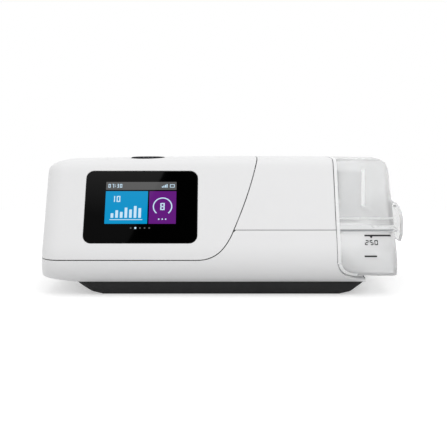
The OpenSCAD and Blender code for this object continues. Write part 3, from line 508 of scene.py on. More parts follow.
def polished(node, body, width, finish):
    """A copy of a solid with welded vertices, smooth curved faces and softened edges."""
    name = node + "_finished"
    bm = bmesh.new()
    bm.from_mesh(frame["nodes"][node].data)
    bmesh.ops.remove_doubles(bm, verts=bm.verts, dist=COPY_WELD * MM)
    bmesh.ops.dissolve_limit(bm, angle_limit=math.radians(COPY_FLAT), verts=bm.verts,
                             edges=bm.edges, delimit={"NORMAL"})
    mesh = bpy.data.meshes.new(name)
    bm.to_mesh(mesh)
    bm.free()
    if "custom_normal" in mesh.attributes:
        mesh.attributes.remove(mesh.attributes["custom_normal"])
    piece = new_object(name, mesh)
    add_bevel(piece, width, segments=2, angle=COPY_SHARP)
    smooth(mesh, COPY_SHARP)
    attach(piece, body)
    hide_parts(node)
    paint(piece, finish)
    return piece


def longer_rim(piece):
    """Draws the upper rim of the base out at both ends, so that its ends flare as they do."""
    for vertex in piece.data.vertices:
        x, z = vertex.co.x / MM, vertex.co.z / MM
        out = RIM_OUT[0] if x < 0 else RIM_OUT[1]
        share = min(1.0, max(0.0, (abs(x) - RIM_FROM) / (RIM_FULL - RIM_FROM)))
        vertex.co.x += math.copysign(out * share * z / BASE_H, x) * MM


# Seam lines, in X and Z

BAY_SEAM_X = 5.5
SEAM_END_X = -20
STEEP_SEAM = curve((23.2, 97), (18.8, 77), (13, 62), (BAY_SEAM_X, BAY_SEAM_Z), 24)
LOW_SEAM = curve((BAY_SEAM_X, BAY_SEAM_Z), (0, 33.5), (-7, SEAM_Z), (SEAM_END_X, SEAM_Z), 20)
MOUTH_CURVE = curve((MOUTH_X, 26), (MOUTH_X, 17.5), (81, 11.5), (SILL_X, BASE_H + 0.7), 14)
TUB_SILL = curve((TUB_LEFT, 27), (TUB_LEFT, 19.5), (80.5, TUB_FLOOR), (TUB_SILL_X, TUB_FLOOR), 14)
END_C = LEFT_X + LEFT_END.radii[0] - QUARTER * LEFT_END.radii[0]


def seam_x(z):
    """X of the steep seam at height z."""
    return np.interp(z, STEEP_SEAM[::-1, 1], STEEP_SEAM[::-1, 0])


def wall_line(points, s_of_z):
    """Points in X and Z, on the front or the rear, as columns and arc lengths."""
    points = np.asarray(points, float)
    return np.column_stack([column(points[:, 0], points[:, 1], LEFT_END), s_of_z(points[:, 1])])


def level_line(from_c, to_c, z, s_of_z):
    """A line at one height, which also runs round the left end."""
    n = max(2, int(abs(to_c - from_c) / END_STEP))
    c = np.linspace(from_c, to_c, n + 1)
    return np.column_stack([c, level(c, z, s_of_z, LEFT_END)])


def steep_line(low, aside):
    """The steep seam from height low over the top to the rear panel, moved to the left by aside."""
    s = np.linspace(float(s_front(low)), float(s_rear(PANEL_HIGH[1])), 90)
    return np.column_stack([seam_x(height(s) - SEAM_GAP) - aside, s])


def underside_z(c):
    """Height of the body's lower edge in column c."""
    bare_x = end_terms(c, LEFT_END)[1]
    slope = 1 + UNDERSIDE_RISE * LEFT_END.draft / FULL_H
    return BASE_H + np.maximum(0, UNDERSIDE_RISE * (UNDERSIDE_X - bare_x)) / slope


def foot_line(s_of_z):
    """The lower edge of the front or the rear from the left end to the sill."""
    c = np.concatenate([np.linspace(END_C, UNDERSIDE_X, 20),
                        np.linspace(UNDERSIDE_X, SILL_X, 80)[1:]])
    return np.column_stack([c, level(c, underside_z(c), s_of_z, LEFT_END)])


# White shells

def glass_opening():
    """The outline of the screen recess, as columns and arc lengths."""
    mid_s = float(s_front(FACE_FOOT[1])) + (GLASS_Z - FACE_FOOT[1]) / LEAN_DIR[1]
    size = (GLASS_SIZE[0] + 2 * GLASS_GAP, GLASS_SIZE[1] + 2 * GLASS_GAP)
    return rounded_rect(size, GLASS_R + GLASS_GAP) + (GLASS_X, mid_s)


def well_opening():
    """The outline of the button well, as columns and arc lengths."""
    turn = np.linspace(0, 2 * math.pi, WELL_POINTS, endpoint=False)
    top = PROFILE[:, 1] > TOP_ONLY_Z
    s = np.interp(BUTTON_Y + WELL_R * np.sin(turn), PROFILE[top, 0], ARC[top])
    return np.column_stack([BUTTON_X + WELL_R * np.cos(turn), s])


def main_cover():
    """The cover on the left, with the screen recess and the button well."""
    skin = Skin()
    low = SEAM_Z + COVER_GAP
    curved = (LOW_SEAM + COVER_GAP * sideways(LOW_SEAM))[::-1]
    steep = steep_line(BAY_SEAM_Z + COVER_GAP, COVER_GAP)
    corner = arc_line((PANEL_LOW[0] + PANEL_R, PANEL_HIGH[1] - PANEL_R), PANEL_R, 90, 180)
    panel = np.vstack([[steep[-1, 0], PANEL_HIGH[1]], corner, [PANEL_LOW[0], low]])
    panel = wall_line(panel, s_rear)
    rear = level_line(panel[-1, 0], END_C, low, s_rear)
    first = level_line(END_C, curved[0, 0], low, s_front)
    rim_s = even(np.column_stack([[0, 0], [rear[-1, 1], first[0, 1]]]))[:, 1]
    rim = np.column_stack([np.full(len(rim_s), END_C), rim_s])
    outer = joined(even(first), even(wall_line(curved, s_front)), even(steep), even(panel),
                   even(rear), rim)
    glass = glass_opening()
    well = well_opening()
    skin.add_outer([outer, glass, well])
    skin.add_left_end([surface(np.full(len(rim_s), END_C), rim_s, LEFT_END)[:, 1:]])
    glass_rim = surface(glass[:, 0], glass[:, 1], LEFT_END)
    skin.add_band(glass_rim, glass_rim - RECESS * FACE_OUT)
    well_rim = surface(well[:, 0], well[:, 1], LEFT_END)
    well_in = well_rim.copy()
    well_in[:, 2] = WELL_Z
    skin.add_band(well_rim, well_in)
    skin.object("main_cover", "machine", "shell_white")


def bay_cover():
    """The cover over the humidifier bay."""
    skin = Skin()
    low = BAY_SEAM_Z + SEAM_GAP
    steep = steep_line(low, 0)
    corner = arc_line((PANEL_HIGH[0] - PANEL_R, PANEL_HIGH[1] - PANEL_R), PANEL_R, 90, 0)
    panel = np.vstack([[steep[-1, 0], PANEL_HIGH[1]], corner, [PANEL_HIGH[0], low]])
    rear = wall_line([(PANEL_HIGH[0], low), (MOUTH_X, low)], s_rear)
    mouth = np.array([[MOUTH_X, float(s_rear(low))], [MOUTH_X, float(s_front(low))]])
    front = np.array([mouth[-1], steep[0]])
    lines = [steep, wall_line(panel, s_rear), rear, mouth, front]
    skin.add_outer([joined(*[even(line) for line in lines])])
    skin.object("bay_cover", "machine", "shell_white")


def housing_wall(skin, foot, top, seams, s_of_z):
    """Adds one long wall of the lower housing, and gives its rim at the left end, in Y and Z."""
    mouth = np.vstack([[MOUTH_X, BAY_SEAM_Z], MOUTH_CURVE, [SILL_X, BASE_H]])
    rim = np.array([foot[0], top[0]])
    lines = [rim, top, *seams, wall_line(mouth, s_of_z)]
    skin.add_outer([joined(even(foot)[::-1], *[even(line) for line in lines])])
    rim = even(rim)
    return surface(rim[:, 0], rim[:, 1], LEFT_END)[:, 1:]


def housing_floor(skin, foot_front, foot_rear):
    """Adds the floor, open over the heater, and the underside that slopes up to the left."""
    near = surface(*even(foot_front).T, LEFT_END)[:, :2]
    far = surface(*even(foot_rear).T, LEFT_END)[:, :2]
    floor = joined(near, even([near[-1], far[-1]]), far[::-1], even([far[0], near[0]]))
    heater = rounded_rect(HEATER_SIZE, HEATER_R) + HEATER_MID
    crease = even([(UNDERSIDE_X, y) for y in UNDERSIDE_Y], CREASE_STEP)
    verts, faces = filled([floor, heater], FLOOR_STEP, [crease])
    z = BASE_H + np.maximum(0, UNDERSIDE_RISE * (UNDERSIDE_X - verts[:, 0]))
    skin.add(np.column_stack([verts, z]), faces, lambda p: np.array([0, 0, -1.0]))


def lower_housing():
    """The lower shell, with the bay's sill and the card opening."""
    skin = Skin()
    foot_front = foot_line(s_front)
    top_front = level_line(END_C, LOW_SEAM[-1, 0], SEAM_Z, s_front)
    seam = np.vstack([LOW_SEAM[::-1], [MOUTH_X, BAY_SEAM_Z]])
    front_rim = housing_wall(skin, foot_front, top_front, [wall_line(seam, s_front)], s_front)

    foot_rear = foot_line(s_rear)
    corners = [arc_line((PANEL_LOW[0] + PANEL_R, PANEL_LOW[1] + PANEL_R), PANEL_R, 180, 270),
               arc_line((PANEL_HIGH[0] - PANEL_R, PANEL_LOW[1] + PANEL_R), PANEL_R, 270, 360)]
    panel = np.vstack([[PANEL_LOW[0], SEAM_Z], *corners, [PANEL_HIGH[0], BAY_SEAM_Z]])
    panel = wall_line(panel, s_rear)
    seam = wall_line([(PANEL_HIGH[0], BAY_SEAM_Z), (MOUTH_X, BAY_SEAM_Z)], s_rear)
    top_rear = level_line(END_C, panel[0, 0], SEAM_Z, s_rear)
    rear_rim = housing_wall(skin, foot_rear, top_rear, [panel, seam], s_rear)

    end_wall = joined(front_rim, even([front_rim[-1], rear_rim[-1]]), rear_rim[::-1],
                      even([rear_rim[0], front_rim[0]]))
    corners = [(CARD_Y[0], CARD_Z[0]), (CARD_Y[1], CARD_Z[0]), (CARD_Y[1], CARD_Z[1]),
               (CARD_Y[0], CARD_Z[1])]
    card = joined(*[even([corners[k], corners[(k + 1) % 4]]) for k in range(4)])
    skin.add_left_end([end_wall, card])
    housing_floor(skin, foot_front, foot_rear)
    skin.object("lower_housing", "machine", "shell_white")


# Materials

def tree_of(name):
    """A new material with its node tree and its Principled shader."""
    material = bpy.data.materials.new(name)
    material.use_nodes = True
    return material, material.node_tree, material.node_tree.nodes["Principled BSDF"]


def grain(tree, shader, scale, depth, stretch=(1, 1, 1), kind="noise"):
    """Fine relief over the whole surface, as bump; scale is in grains per metre."""
    coords = tree.nodes.new("ShaderNodeTexCoord")
    mapping = tree.nodes.new("ShaderNodeMapping")
    mapping.inputs["Scale"].default_value = stretch
    bump = tree.nodes.new("ShaderNodeBump")
    bump.inputs["Strength"].default_value = 1.0
    bump.inputs["Distance"].default_value = depth * MM
    if kind == "cells":
        texture = tree.nodes.new("ShaderNodeTexVoronoi")
        output = texture.outputs["Distance"]
    elif kind == "bands":
        texture = tree.nodes.new("ShaderNodeTexWave")
        texture.inputs["Distortion"].default_value = 0.6
        output = texture.outputs["Fac"]
    else:
        texture = tree.nodes.new("ShaderNodeTexNoise")
        texture.inputs["Detail"].default_value = 3.0
        output = texture.outputs["Fac"]
    texture.inputs["Scale"].default_value = scale
    tree.links.new(coords.outputs["Object"], mapping.inputs["Vector"])
    tree.links.new(mapping.outputs["Vector"], texture.inputs["Vector"])
    tree.links.new(output, bump.inputs["Height"])
    tree.links.new(bump.outputs["Normal"], shader.inputs["Normal"])


def ranged(tree, span):
    """A node that maps a value from one range to another, span being both ranges."""
    node = tree.nodes.new("ShaderNodeMapRange")
    for socket, value in zip(("From Min", "From Max", "To Min", "To Max"), span):
        node.inputs[socket].default_value = value
    return node


def uneven(tree, shader, rough, spread):
    """Roughness that drifts a little over the surface, as handling and moulding leave it."""
    texture = tree.nodes.new("ShaderNodeTexNoise")
    texture.inputs["Scale"].default_value = 90.0
    texture.inputs["Detail"].default_value = 4.0
    coords = tree.nodes.new("ShaderNodeTexCoord")
    span = ranged(tree, (0.3, 0.7, rough - spread, rough + spread))
    tree.links.new(coords.outputs["Object"], texture.inputs["Vector"])
    tree.links.new(texture.outputs["Fac"], span.inputs["Value"])
    tree.links.new(span.outputs["Result"], shader.inputs["Roughness"])


def look(name, color, rough, metal=0.0, spec=0.5, spread=0.05, scale=2600.0, depth=0.012,
         stretch=(1, 1, 1), kind="noise"):
    """An opaque finish."""
    material, tree, shader = tree_of(name)
    shader.inputs["Base Color"].default_value = (*color, 1.0)
    shader.inputs["Metallic"].default_value = metal
    shader.inputs["Specular IOR Level"].default_value = spec
    uneven(tree, shader, rough, spread)
    grain(tree, shader, scale, depth, stretch, kind)
    return material


def clear(name, color, rough, share, ior=1.46):
    """A clear or frosted plastic, which lets the share of the light through."""
    material, tree, shader = tree_of(name)
    shader.inputs["Base Color"].default_value = (*color, 1.0)
    shader.inputs["Transmission Weight"].default_value = share
    shader.inputs["IOR"].default_value = ior
    uneven(tree, shader, rough, 0.3 * rough)
    grain(tree, shader, 700.0, 0.004)
    return material


def lit(name, color):
    """A part of the picture on the display, seen through its glass."""
    material, tree, shader = tree_of(name)
    shader.inputs["Base Color"].default_value = (0.001, 0.001, 0.001, 1.0)
    shader.inputs["Emission Color"].default_value = (*color, 1.0)
    shader.inputs["Emission Strength"].default_value = 1.0
    shader.inputs["Specular IOR Level"].default_value = GLASS_SPEC
    uneven(tree, shader, 0.04, 0.01)
    return material


GLASS_SPEC = 0.16
SILVERY = (0.7, 0.71, 0.72)
CLEAR_TINT = (0.99, 0.993, 0.995)

OPAQUE = {
    "shell_white": dict(color=(0.86, 0.86, 0.865), rough=0.42, spec=0.4),
    "panel_white": dict(color=(0.84, 0.84, 0.85), rough=0.5, spec=0.4, scale=1800.0, depth=0.02),
    "base_black": dict(color=(0.013, 0.013, 0.014), rough=0.6, spec=0.25, scale=1500.0, depth=0.03),
    "foot_rubber": dict(color=(0.04, 0.04, 0.04), rough=0.85, spec=0.3, scale=1100.0, depth=0.05),
    "steel": dict(color=(0.6, 0.61, 0.62), rough=0.3, metal=1.0, spread=0.08, scale=900.0,
                  depth=0.006, stretch=(1, 14, 1)),
    "cover_glass": dict(color=(0.0004, 0.0004, 0.0004), rough=0.035, spec=GLASS_SPEC, spread=0.012,
                        scale=120.0, depth=0.0006),
    "dark_foam": dict(color=(0.05, 0.05, 0.055), rough=0.95, spec=0.15, scale=1400.0, depth=0.15,
                      kind="cells"),
    "display": dict(color=(0.12, 0.12, 0.13), rough=0.4, scale=1500.0),
    "ribbon": dict(color=(0.55, 0.35, 0.1), rough=0.3, scale=420.0, depth=0.05, kind="bands"),
    "button_grey": dict(color=(0.025, 0.025, 0.028), rough=0.45, spec=0.0, scale=2200.0,
                        depth=0.015),
    "board_green": dict(color=(0.03, 0.16, 0.07), rough=0.35, scale=260.0, depth=0.05,
                        kind="bands"),
    "card_blue": dict(color=(0.05, 0.09, 0.25), rough=0.45),
    "clip_grey": dict(color=(0.5, 0.51, 0.53), rough=0.45, scale=1800.0, depth=0.02),
    "filter_media": dict(color=(0.85, 0.85, 0.82), rough=0.95, spec=0.15, scale=900.0, depth=0.25,
                         stretch=(1, 1, 4)),
    "inner_grey": dict(color=SILVERY, rough=0.5, scale=1500.0, depth=0.02),
    "foam_grey": dict(color=(0.12, 0.12, 0.13), rough=0.95, spec=0.1, scale=900.0, depth=0.4,
                      kind="cells"),
    "aluminium": dict(color=SILVERY, rough=0.34, metal=1.0, scale=700.0, depth=0.006,
                      stretch=(9, 1, 1)),
    "copper": dict(color=(0.72, 0.38, 0.18), rough=0.3, metal=1.0, scale=900.0, depth=0.08,
                   kind="bands"),
    "silicone": dict(color=(0.6, 0.62, 0.64), rough=0.6, spec=0.35, scale=1200.0, depth=0.02),
    "mark_black": dict(color=(0.015, 0.015, 0.017), rough=0.6, spec=0.2),
    "sign_grey": dict(color=(0.45, 0.46, 0.48), rough=0.5),
}
CLEAR = {
    "light_guide": dict(color=(0.85, 0.95, 0.88), rough=0.35, share=0.8),
    "tub_clear": dict(color=CLEAR_TINT, rough=0.16, share=0.69, ior=1.1),
    "latch_clear": dict(color=CLEAR_TINT, rough=0.14, share=0.82, ior=1.1),
    # Near-opaque white frost: on the rib and the rim band its brightness is a painted highlight;
    # the air duct in the tub wears it too
    "frost_and_highlight": dict(color=(0.97, 0.975, 0.98), rough=0.3, share=0.1),
    "bead_frost": dict(color=(0.87, 0.875, 0.88), rough=0.3, share=0.15),
}
LIT = {
    "lit_blue": (0.001, 0.285, 0.58),
    "lit_purple": (0.125, 0.012, 0.2),
    "lit_grey": (0.1, 0.1, 0.1),
    "lit_white": (0.6, 0.8, 0.95),
}
LOOKS = {name: look(name, **finish) for name, finish in OPAQUE.items()}
LOOKS.update({name: clear(name, **finish) for name, finish in CLEAR.items()})
LOOKS.update({name: lit(name, color) for name, color in LIT.items()})


def paint(piece, name):
    """Gives a piece one finish all over, also where it is a solid from the frame."""
    piece.data.materials.clear()
    piece.data.materials.append(LOOKS[name])


# Flat pieces: the picture on the display, marks on the tub and the sign on the button

class Flat:
    """Thin closed plates, drawn in two dimensions and placed on a surface of the object."""

    def __init__(self, place, low, high):
        self.place = place
        self.low = low
        self.high = high
        self.verts = []
        self.faces = []

    def add(self, *loops):
        """A plate with the first loop as its outline and the others as its holes."""
        points, tris = filled([np.asarray(loop, float) for loop in loops], NO_STEP)
        a, b, c = (points[tris[:, k]] for k in range(3))
        b, c = b - a, c - a
        turned = b[:, 0] * c[:, 1] < b[:, 1] * c[:, 0]
        tris[turned] = tris[turned][:, ::-1]
        tris = tris.tolist()
        n = len(points)
        at = len(self.verts)
        self.verts += [*self.place(points, self.high), *self.place(points, self.low)]
        sides = dict.fromkeys((tri[k], tri[(k + 1) % 3]) for tri in tris for k in range(3))
        self.faces += [(at + j, at + i, at + n + i, at + n + j)
                       for i, j in sides if (j, i) not in sides]
        self.faces += [tuple(at + i for i in tri) for tri in tris]
        self.faces += [tuple(at + n + i for i in tri[::-1]) for tri in tris]

    def object(self, name, body, finish):
        """The piece made of all plates."""
        mesh = new_mesh(name, self.verts, self.faces)
        mesh.validate()
        piece = new_object(name, mesh)
        paint(piece, finish)
        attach(piece, body)


SEGMENTS = {"0": "abcdef", "1": "bc", "2": "abged", "3": "abgcd", "4": "fgbc", "5": "afgcd",
            "6": "afgedc", "7": "abc", "8": "abcdefg", "9": "abcdfg"}
SEGMENT_GAP = 0.07
DIGIT_SPACE = 0.24
COLON_HEIGHTS = (0.28, 0.72)
COLON_WIDTH = 2.2
TIGHT_R = 0.1


def add_number(flat, digits, at, h, stroke, wide=0.56):
    """Plain digits out of straight strokes, from the lower left corner at; a colon is two dots."""
    w = wide * h
    m = h / 2
    half = stroke / 2
    boxes = {"a": (stroke, h - stroke, w - stroke, h), "d": (stroke, 0, w - stroke, stroke),
             "g": (stroke, m - half, w - stroke, m + half),
             "f": (0, m, stroke, h), "b": (w - stroke, m, w, h),
             "e": (0, 0, stroke, m), "c": (w - stroke, 0, w, m)}
    x, y = at
    for digit in digits:
        if digit == ":":
            for share in COLON_HEIGHTS:
                z = y + share * h
                flat.add(block(x, z - half, x + stroke, z + half, TIGHT_R))
            x += COLON_WIDTH * stroke
            continue
        for name in SEGMENTS[digit]:
            x0, y0, x1, y1 = boxes[name]
            if name in "adg":
                x0, x1 = x0 + SEGMENT_GAP, x1 - SEGMENT_GAP
            else:
                y0, y1 = y0 + SEGMENT_GAP, y1 - SEGMENT_GAP
            flat.add(block(x + x0, y + y0, x + x1, y + y1, TIGHT_R))
        x += w + DIGIT_SPACE * h


def add_bars(flat, heights, at, width, pitch, r):
    """Upright bars side by side, from the lower left corner at."""
    for k, h in enumerate(heights):
        x = at[0] + pitch * k
        flat.add(block(x, at[1], x + width, at[1] + h, r))


# The display's picture: places across and up the glass from its middle, and lifts of its layers
GLASS_FACE = 0.1
GLASS_MID_Y = FACE_FOOT[0] + (GLASS_Z - FACE_FOOT[1]) * LEAN_DIR[0] / LEAN_DIR[1]
GLASS_MID = np.array([GLASS_X, GLASS_MID_Y, GLASS_Z])
PANEL_LIFTS = (-0.04, 0.03)
MARK_LIFTS = (0.01, 0.05)
PICTURE_X = (-25.0, 24.5)
SPLIT_X = (4.6, 5.6)
PANELS_Z = (-12.8, 11.6)
STRIP_Z = (12.6, 18.6)
PAGE_DOTS = [(-6.6 + 3.2 * k, -15.9) for k in range(5)]
PAGE_SHOWN = 1
DIAL_DOTS = [(12.65 + 2.4 * k, -9.4) for k in range(3)]
DIAL_MID = (15.05, 0.0)
CHART = (3.4, 5.6, 4.4, 7.6, 6.2, 8.8, 7.2)


def on_glass(points, lift):
    """Points across and up the glass, from its middle; lift is measured from its outer face."""
    up = np.array([0.0, *LEAN_DIR])
    return (GLASS_MID + np.outer(points[:, 0], [1.0, 0.0, 0.0]) + np.outer(points[:, 1], up)
            + (lift - GLASS_FACE) * FACE_OUT)


def display_picture():
    """A plain picture: a clock bar on top, a panel of bars, a panel with a dial and page dots."""
    blue = Flat(on_glass, *PANEL_LIFTS)
    blue.add(block(PICTURE_X[0], PANELS_Z[0], SPLIT_X[0], PANELS_Z[1]))
    blue.object("display_blue_panel", "machine", "lit_blue")
    purple = Flat(on_glass, *PANEL_LIFTS)
    purple.add(block(SPLIT_X[1], PANELS_Z[0], PICTURE_X[1], PANELS_Z[1]))
    purple.object("display_purple_panel", "machine", "lit_purple")
    grey = Flat(on_glass, *PANEL_LIFTS)
    grey.add(block(PICTURE_X[0], STRIP_Z[0], PICTURE_X[1], STRIP_Z[1]))
    for k, mid in enumerate(PAGE_DOTS):
        if k != PAGE_SHOWN:
            grey.add(dot(mid, 0.6))
    grey.object("display_grey_bar", "machine", "lit_grey")
    marks = Flat(on_glass, *MARK_LIFTS)
    add_number(marks, "07:30", at=(-23.4, 14.2), h=2.9, stroke=0.5)
    add_bars(marks, (0.9, 1.5, 2.1, 2.7), at=(14.2, 14.3), width=0.7, pitch=1.1, r=TIGHT_R)
    marks.add(block(19.9, 14.4, 23.2, 16.8), block(20.3, 14.8, 22.8, 16.4))
    marks.add(dot(PAGE_DOTS[PAGE_SHOWN], 0.75))
    add_bars(marks, CHART, at=(-20.9, -8.4), width=1.9, pitch=3.2, r=0.3)
    marks.add(block(-21.6, -10.0, 1.2, -9.5, 0.2))
    add_number(marks, "10", at=(-20.9, 3.4), h=4.6, stroke=0.75)
    marks.add(arc_band(DIAL_MID, r=6.4, stroke=0.8, start=-50, stop=230))
    add_number(marks, "8", at=(13.5, -2.7), h=5.4, stroke=0.85)
    for mid in DIAL_DOTS:
        marks.add(dot(mid, 0.55))
    marks.object("display_marks", "machine", "lit_white")


def button_sign():
    """The plain on-off sign on the button: an open ring and a bar in its gap."""
    def on_button(points, lift):
        """Points across and up the button, from its middle."""
        return np.column_stack([points + (BUTTON_X, BUTTON_Y),
                                np.full(len(points), BUTTON_TOP + lift)])
    sign = Flat(on_button, -0.03, 0.02)
    sign.add(arc_band((0, 0), r=3.6, stroke=0.7, start=120, stop=420))
    sign.add(block(-0.35, 1.2, 0.35, 4.4, 0.2))
    sign.object("button_sign", "start_button", "sign_grey")


# Trim and print of the tub

def on_tub(points, lift):
    """Points in X and Z, on the front of the tub."""
    s = s_front(points[:, 1])
    on = surface(points[:, 0], s, TUB_END)
    ahead = surface(points[:, 0], s + PRINT_PROBE, TUB_END) - on
    out = np.column_stack([np.zeros(len(on)), -ahead[:, 2], ahead[:, 1]])
    return on + lift * out / np.linalg.norm(out, axis=1)[:, None]


def fill_marks():
    """Two printed lines on the tub, the upper one with a pointer and a plain number."""
    print_on = Flat(on_tub, -0.06, 0.1)
    print_on.add(thin_line(*UPPER_MARK))
    left, low = UPPER_MARK[0]
    x, z = left + POINTER_X, low - POINTER_GAP
    print_on.add([(x - POINTER_HALF, z), (x, z - POINTER_DEPTH), (x + POINTER_HALF, z)])
    add_number(print_on, "250", at=(left, low - FILL_NUMBER_DROP), h=3.3, stroke=0.62, wide=0.78)
    print_on.add(thin_line(*LOWER_MARK))
    print_on.object("tub_fill_marks", "tub", "mark_black")


def tub_rib_highlight():
    """An upright strip on the front of the lid, standing in for a rib, which leans a little
    outward; its frosted white is a painted highlight line.
    """
    rib = Flat(on_tub, -0.06, 0.2)
    line = thin_line(*RIB_HIGHLIGHT)
    line[:, 0] += RIB_LEAN * (line[:, 1] - RIB_HIGHLIGHT[0][1])
    rib.add(line)
    rib.object("tub_rib_highlight", "tub", "frost_and_highlight")


def tub_strip(rows, name, finish):
    """A closed strip on the outside of the tub, out of rows of points that go round its section."""
    n, count = len(rows[0]), len(rows)
    faces = [tuple(range(0, n * count, n)), tuple(range(n - 1, n * count, n))]
    for r in range(count):
        a, b = r * n, (r + 1) % count * n
        faces += [(a + k, a + k + 1, b + k + 1, b + k) for k in range(n - 1)]
    mesh = new_mesh(name, np.vstack(rows), faces)
    bm = bmesh.new()
    bm.from_mesh(mesh)
    bmesh.ops.recalc_face_normals(bm, faces=bm.faces)
    bm.to_mesh(mesh)
    bm.free()
    smooth(mesh, STRIP_SHARP)
    piece = new_object(name, mesh)
    paint(piece, finish)
    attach(piece, "tub")


def tub_rim_highlight():
    """The frosted rim of the tub beside the housing, from sill to sill over the top: a thin strip
    whose frosted white is a painted highlight on the rim's rounded edge.
    """
    front = np.column_stack([TUB_SILL[:, 0], s_front(TUB_SILL[:, 1])])[::-1]
    rear = np.column_stack([TUB_SILL[:, 0], s_rear(TUB_SILL[:, 1])])
    over = np.linspace(front[-1, 1], rear[0, 1], 220)[1:-1]
    path = np.vstack([front, np.column_stack([np.full(len(over), TUB_LEFT), over]), rear])
    inner = path + RIM_W * sideways(path)
    low, high = RIM_LIFT
    rows = []
    for line, lift in ((path, low), (path, high), (inner, high), (inner, low)):
        on = surface(line[:, 0], line[:, 1], TUB_END)
        across = surface(line[:, 0] + RIM_PROBE, line[:, 1], TUB_END) - on
        along = surface(line[:, 0], line[:, 1] + RIM_PROBE, TUB_END) - on
        out = np.cross(across, along)
        row = on + lift * out / np.linalg.norm(out, axis=1)[:, None]
        row[:, 1] = np.maximum(row[:, 1], FRONT_Y)
        rows.append(row)
    tub_strip(rows, "tub_rim_highlight", "frost_and_highlight")


def tub_ring(z, out):
    """A level line round the outside of the tub, moved outward by out."""
    turn_from = TUB_END.place - TUB_END.radii[0]
    c = np.concatenate([np.linspace(TUB_LEFT + RIM_W, turn_from, 24),
                        np.linspace(turn_from, turn_from + QUARTER * TUB_END.radii[0], 12)[1:]])
    front = surface(c, level(c, z, s_front, TUB_END), TUB_END)
    rear = surface(c, level(c, z, s_rear, TUB_END), TUB_END)
    ring = np.vstack([front, rear[::-1]])
    ring[:, :2] += out * sideways(ring[:, :2])
    return ring


def tub_bead(low, high, lift, name):
    """A low moulded bead round the tub, with rounded edges."""
    turn = BEAD_ROUND * lift
    section = [(low, BEAD_ROOT), (low, lift - turn), (low + turn, lift), (high - turn, lift),
               (high, lift - turn), (high, BEAD_ROOT)]
    tub_strip([tub_ring(z, out) for z, out in section], name, "bead_frost")


# Camera, light and floor; the lamps are given by place, target and size in metres and by watts
CAMERA_AT = (-2.0, -634.0, 119.5)
CAMERA_PITCH = 6.88
CAMERA_ANGLE = 29.9
WORLD_LIGHT = 0.71
FLOOR_HALF = 2500
FLOOR_BEHIND = 500
FLOOR_GREY = (0.72, 0.72, 0.72, 1.0)
FLOOR_GLOW = 0.46
WHITE = (1, 1, 1, 1)
LAMPS = {
    "overhead": ((0.0, -0.25, 1.1), (0.0, 0.0, 0.05), (1.6, 1.0), 3.6),
    "front_box": ((0.26, -0.85, 1.0), (0.05, -0.05, 0.07), (0.5, 0.3), 1.3),
}

# Two cards over the camera, which only the glass shows: a dark one, which blackens it on the right
# of a slanted edge, and a pale one behind that, whose glow fades downward. Their corners and the
# ends of the fade are places on the glass, across and up from its middle, and a reach is the way
# from the glass at CARD_AIM to a card that faces it.
CARD_AIM = (20.0, 0.0)
DARK_REACH = 900.0
DARK_CORNERS = ((18.0, 32.0), (-10.7, -32.0), (48.0, -32.0), (48.0, 32.0))
PALE_REACH = 930.0
PALE_CORNERS = ((-48.0, 33.0), (-48.0, -33.0), (48.0, -33.0), (48.0, 33.0))
FADE_ENDS = ((-30.0, -5.9), (-30.0, 25.7))
FADE_GLOW = (0.33, 1.18)


def make_camera():
    """The view of the photo: straight from the front and a little from above."""
    data = bpy.data.cameras.new("camera")
    data.angle = math.radians(CAMERA_ANGLE)
    camera = new_object("camera", data)
    camera.location = Vector(CAMERA_AT) * MM
    camera.rotation_euler = (QUARTER - math.radians(CAMERA_PITCH), 0.0, 0.0)
    scene.camera = camera


def make_lamp(name, place, target, size, power):
    """A rectangular lamp at place that points at target."""
    data = bpy.data.lights.new(name, "AREA")
    data.shape = "RECTANGLE"
    data.size, data.size_y = size
    data.energy = power
    lamp = new_object(name, data)
    lamp.location = place
    lamp.rotation_euler = (Vector(target) - Vector(place)).to_track_quat("-Z", "Y").to_euler()


def seen_apart(tree, for_light, for_view, output):
    """Shows for_view to the camera, also mirrored or through plastic, and for_light to the rest."""
    path = tree.nodes.new("ShaderNodeLightPath")
    seen = path.outputs["Is Camera Ray"]
    for kind in ("Is Glossy Ray", "Is Transmission Ray"):
        either = tree.nodes.new("ShaderNodeMath")
        either.operation = "MAXIMUM"
        tree.links.new(seen, either.inputs[0])
        tree.links.new(path.outputs[kind], either.inputs[1])
        seen = either.outputs[0]
    mix = tree.nodes.new("ShaderNodeMixShader")
    tree.links.new(seen, mix.inputs["Fac"])
    tree.links.new(for_light.outputs[0], mix.inputs[1])
    tree.links.new(for_view.outputs[0], mix.inputs[2])
    tree.links.new(mix.outputs[0], tree.nodes[output].inputs["Surface"])


def make_world():
    """White where it is seen, and soft light from all round."""
    world = bpy.data.worlds.new("world")
    world.use_nodes = True
    tree = world.node_tree
    light = tree.nodes["Background"]
    light.inputs["Color"].default_value = WHITE
    light.inputs["Strength"].default_value = WORLD_LIGHT
    seen = tree.nodes.new("ShaderNodeBackground")
    seen.inputs["Color"].default_value = WHITE
    seen_apart(tree, light, seen, "World Output")
    scene.world = world


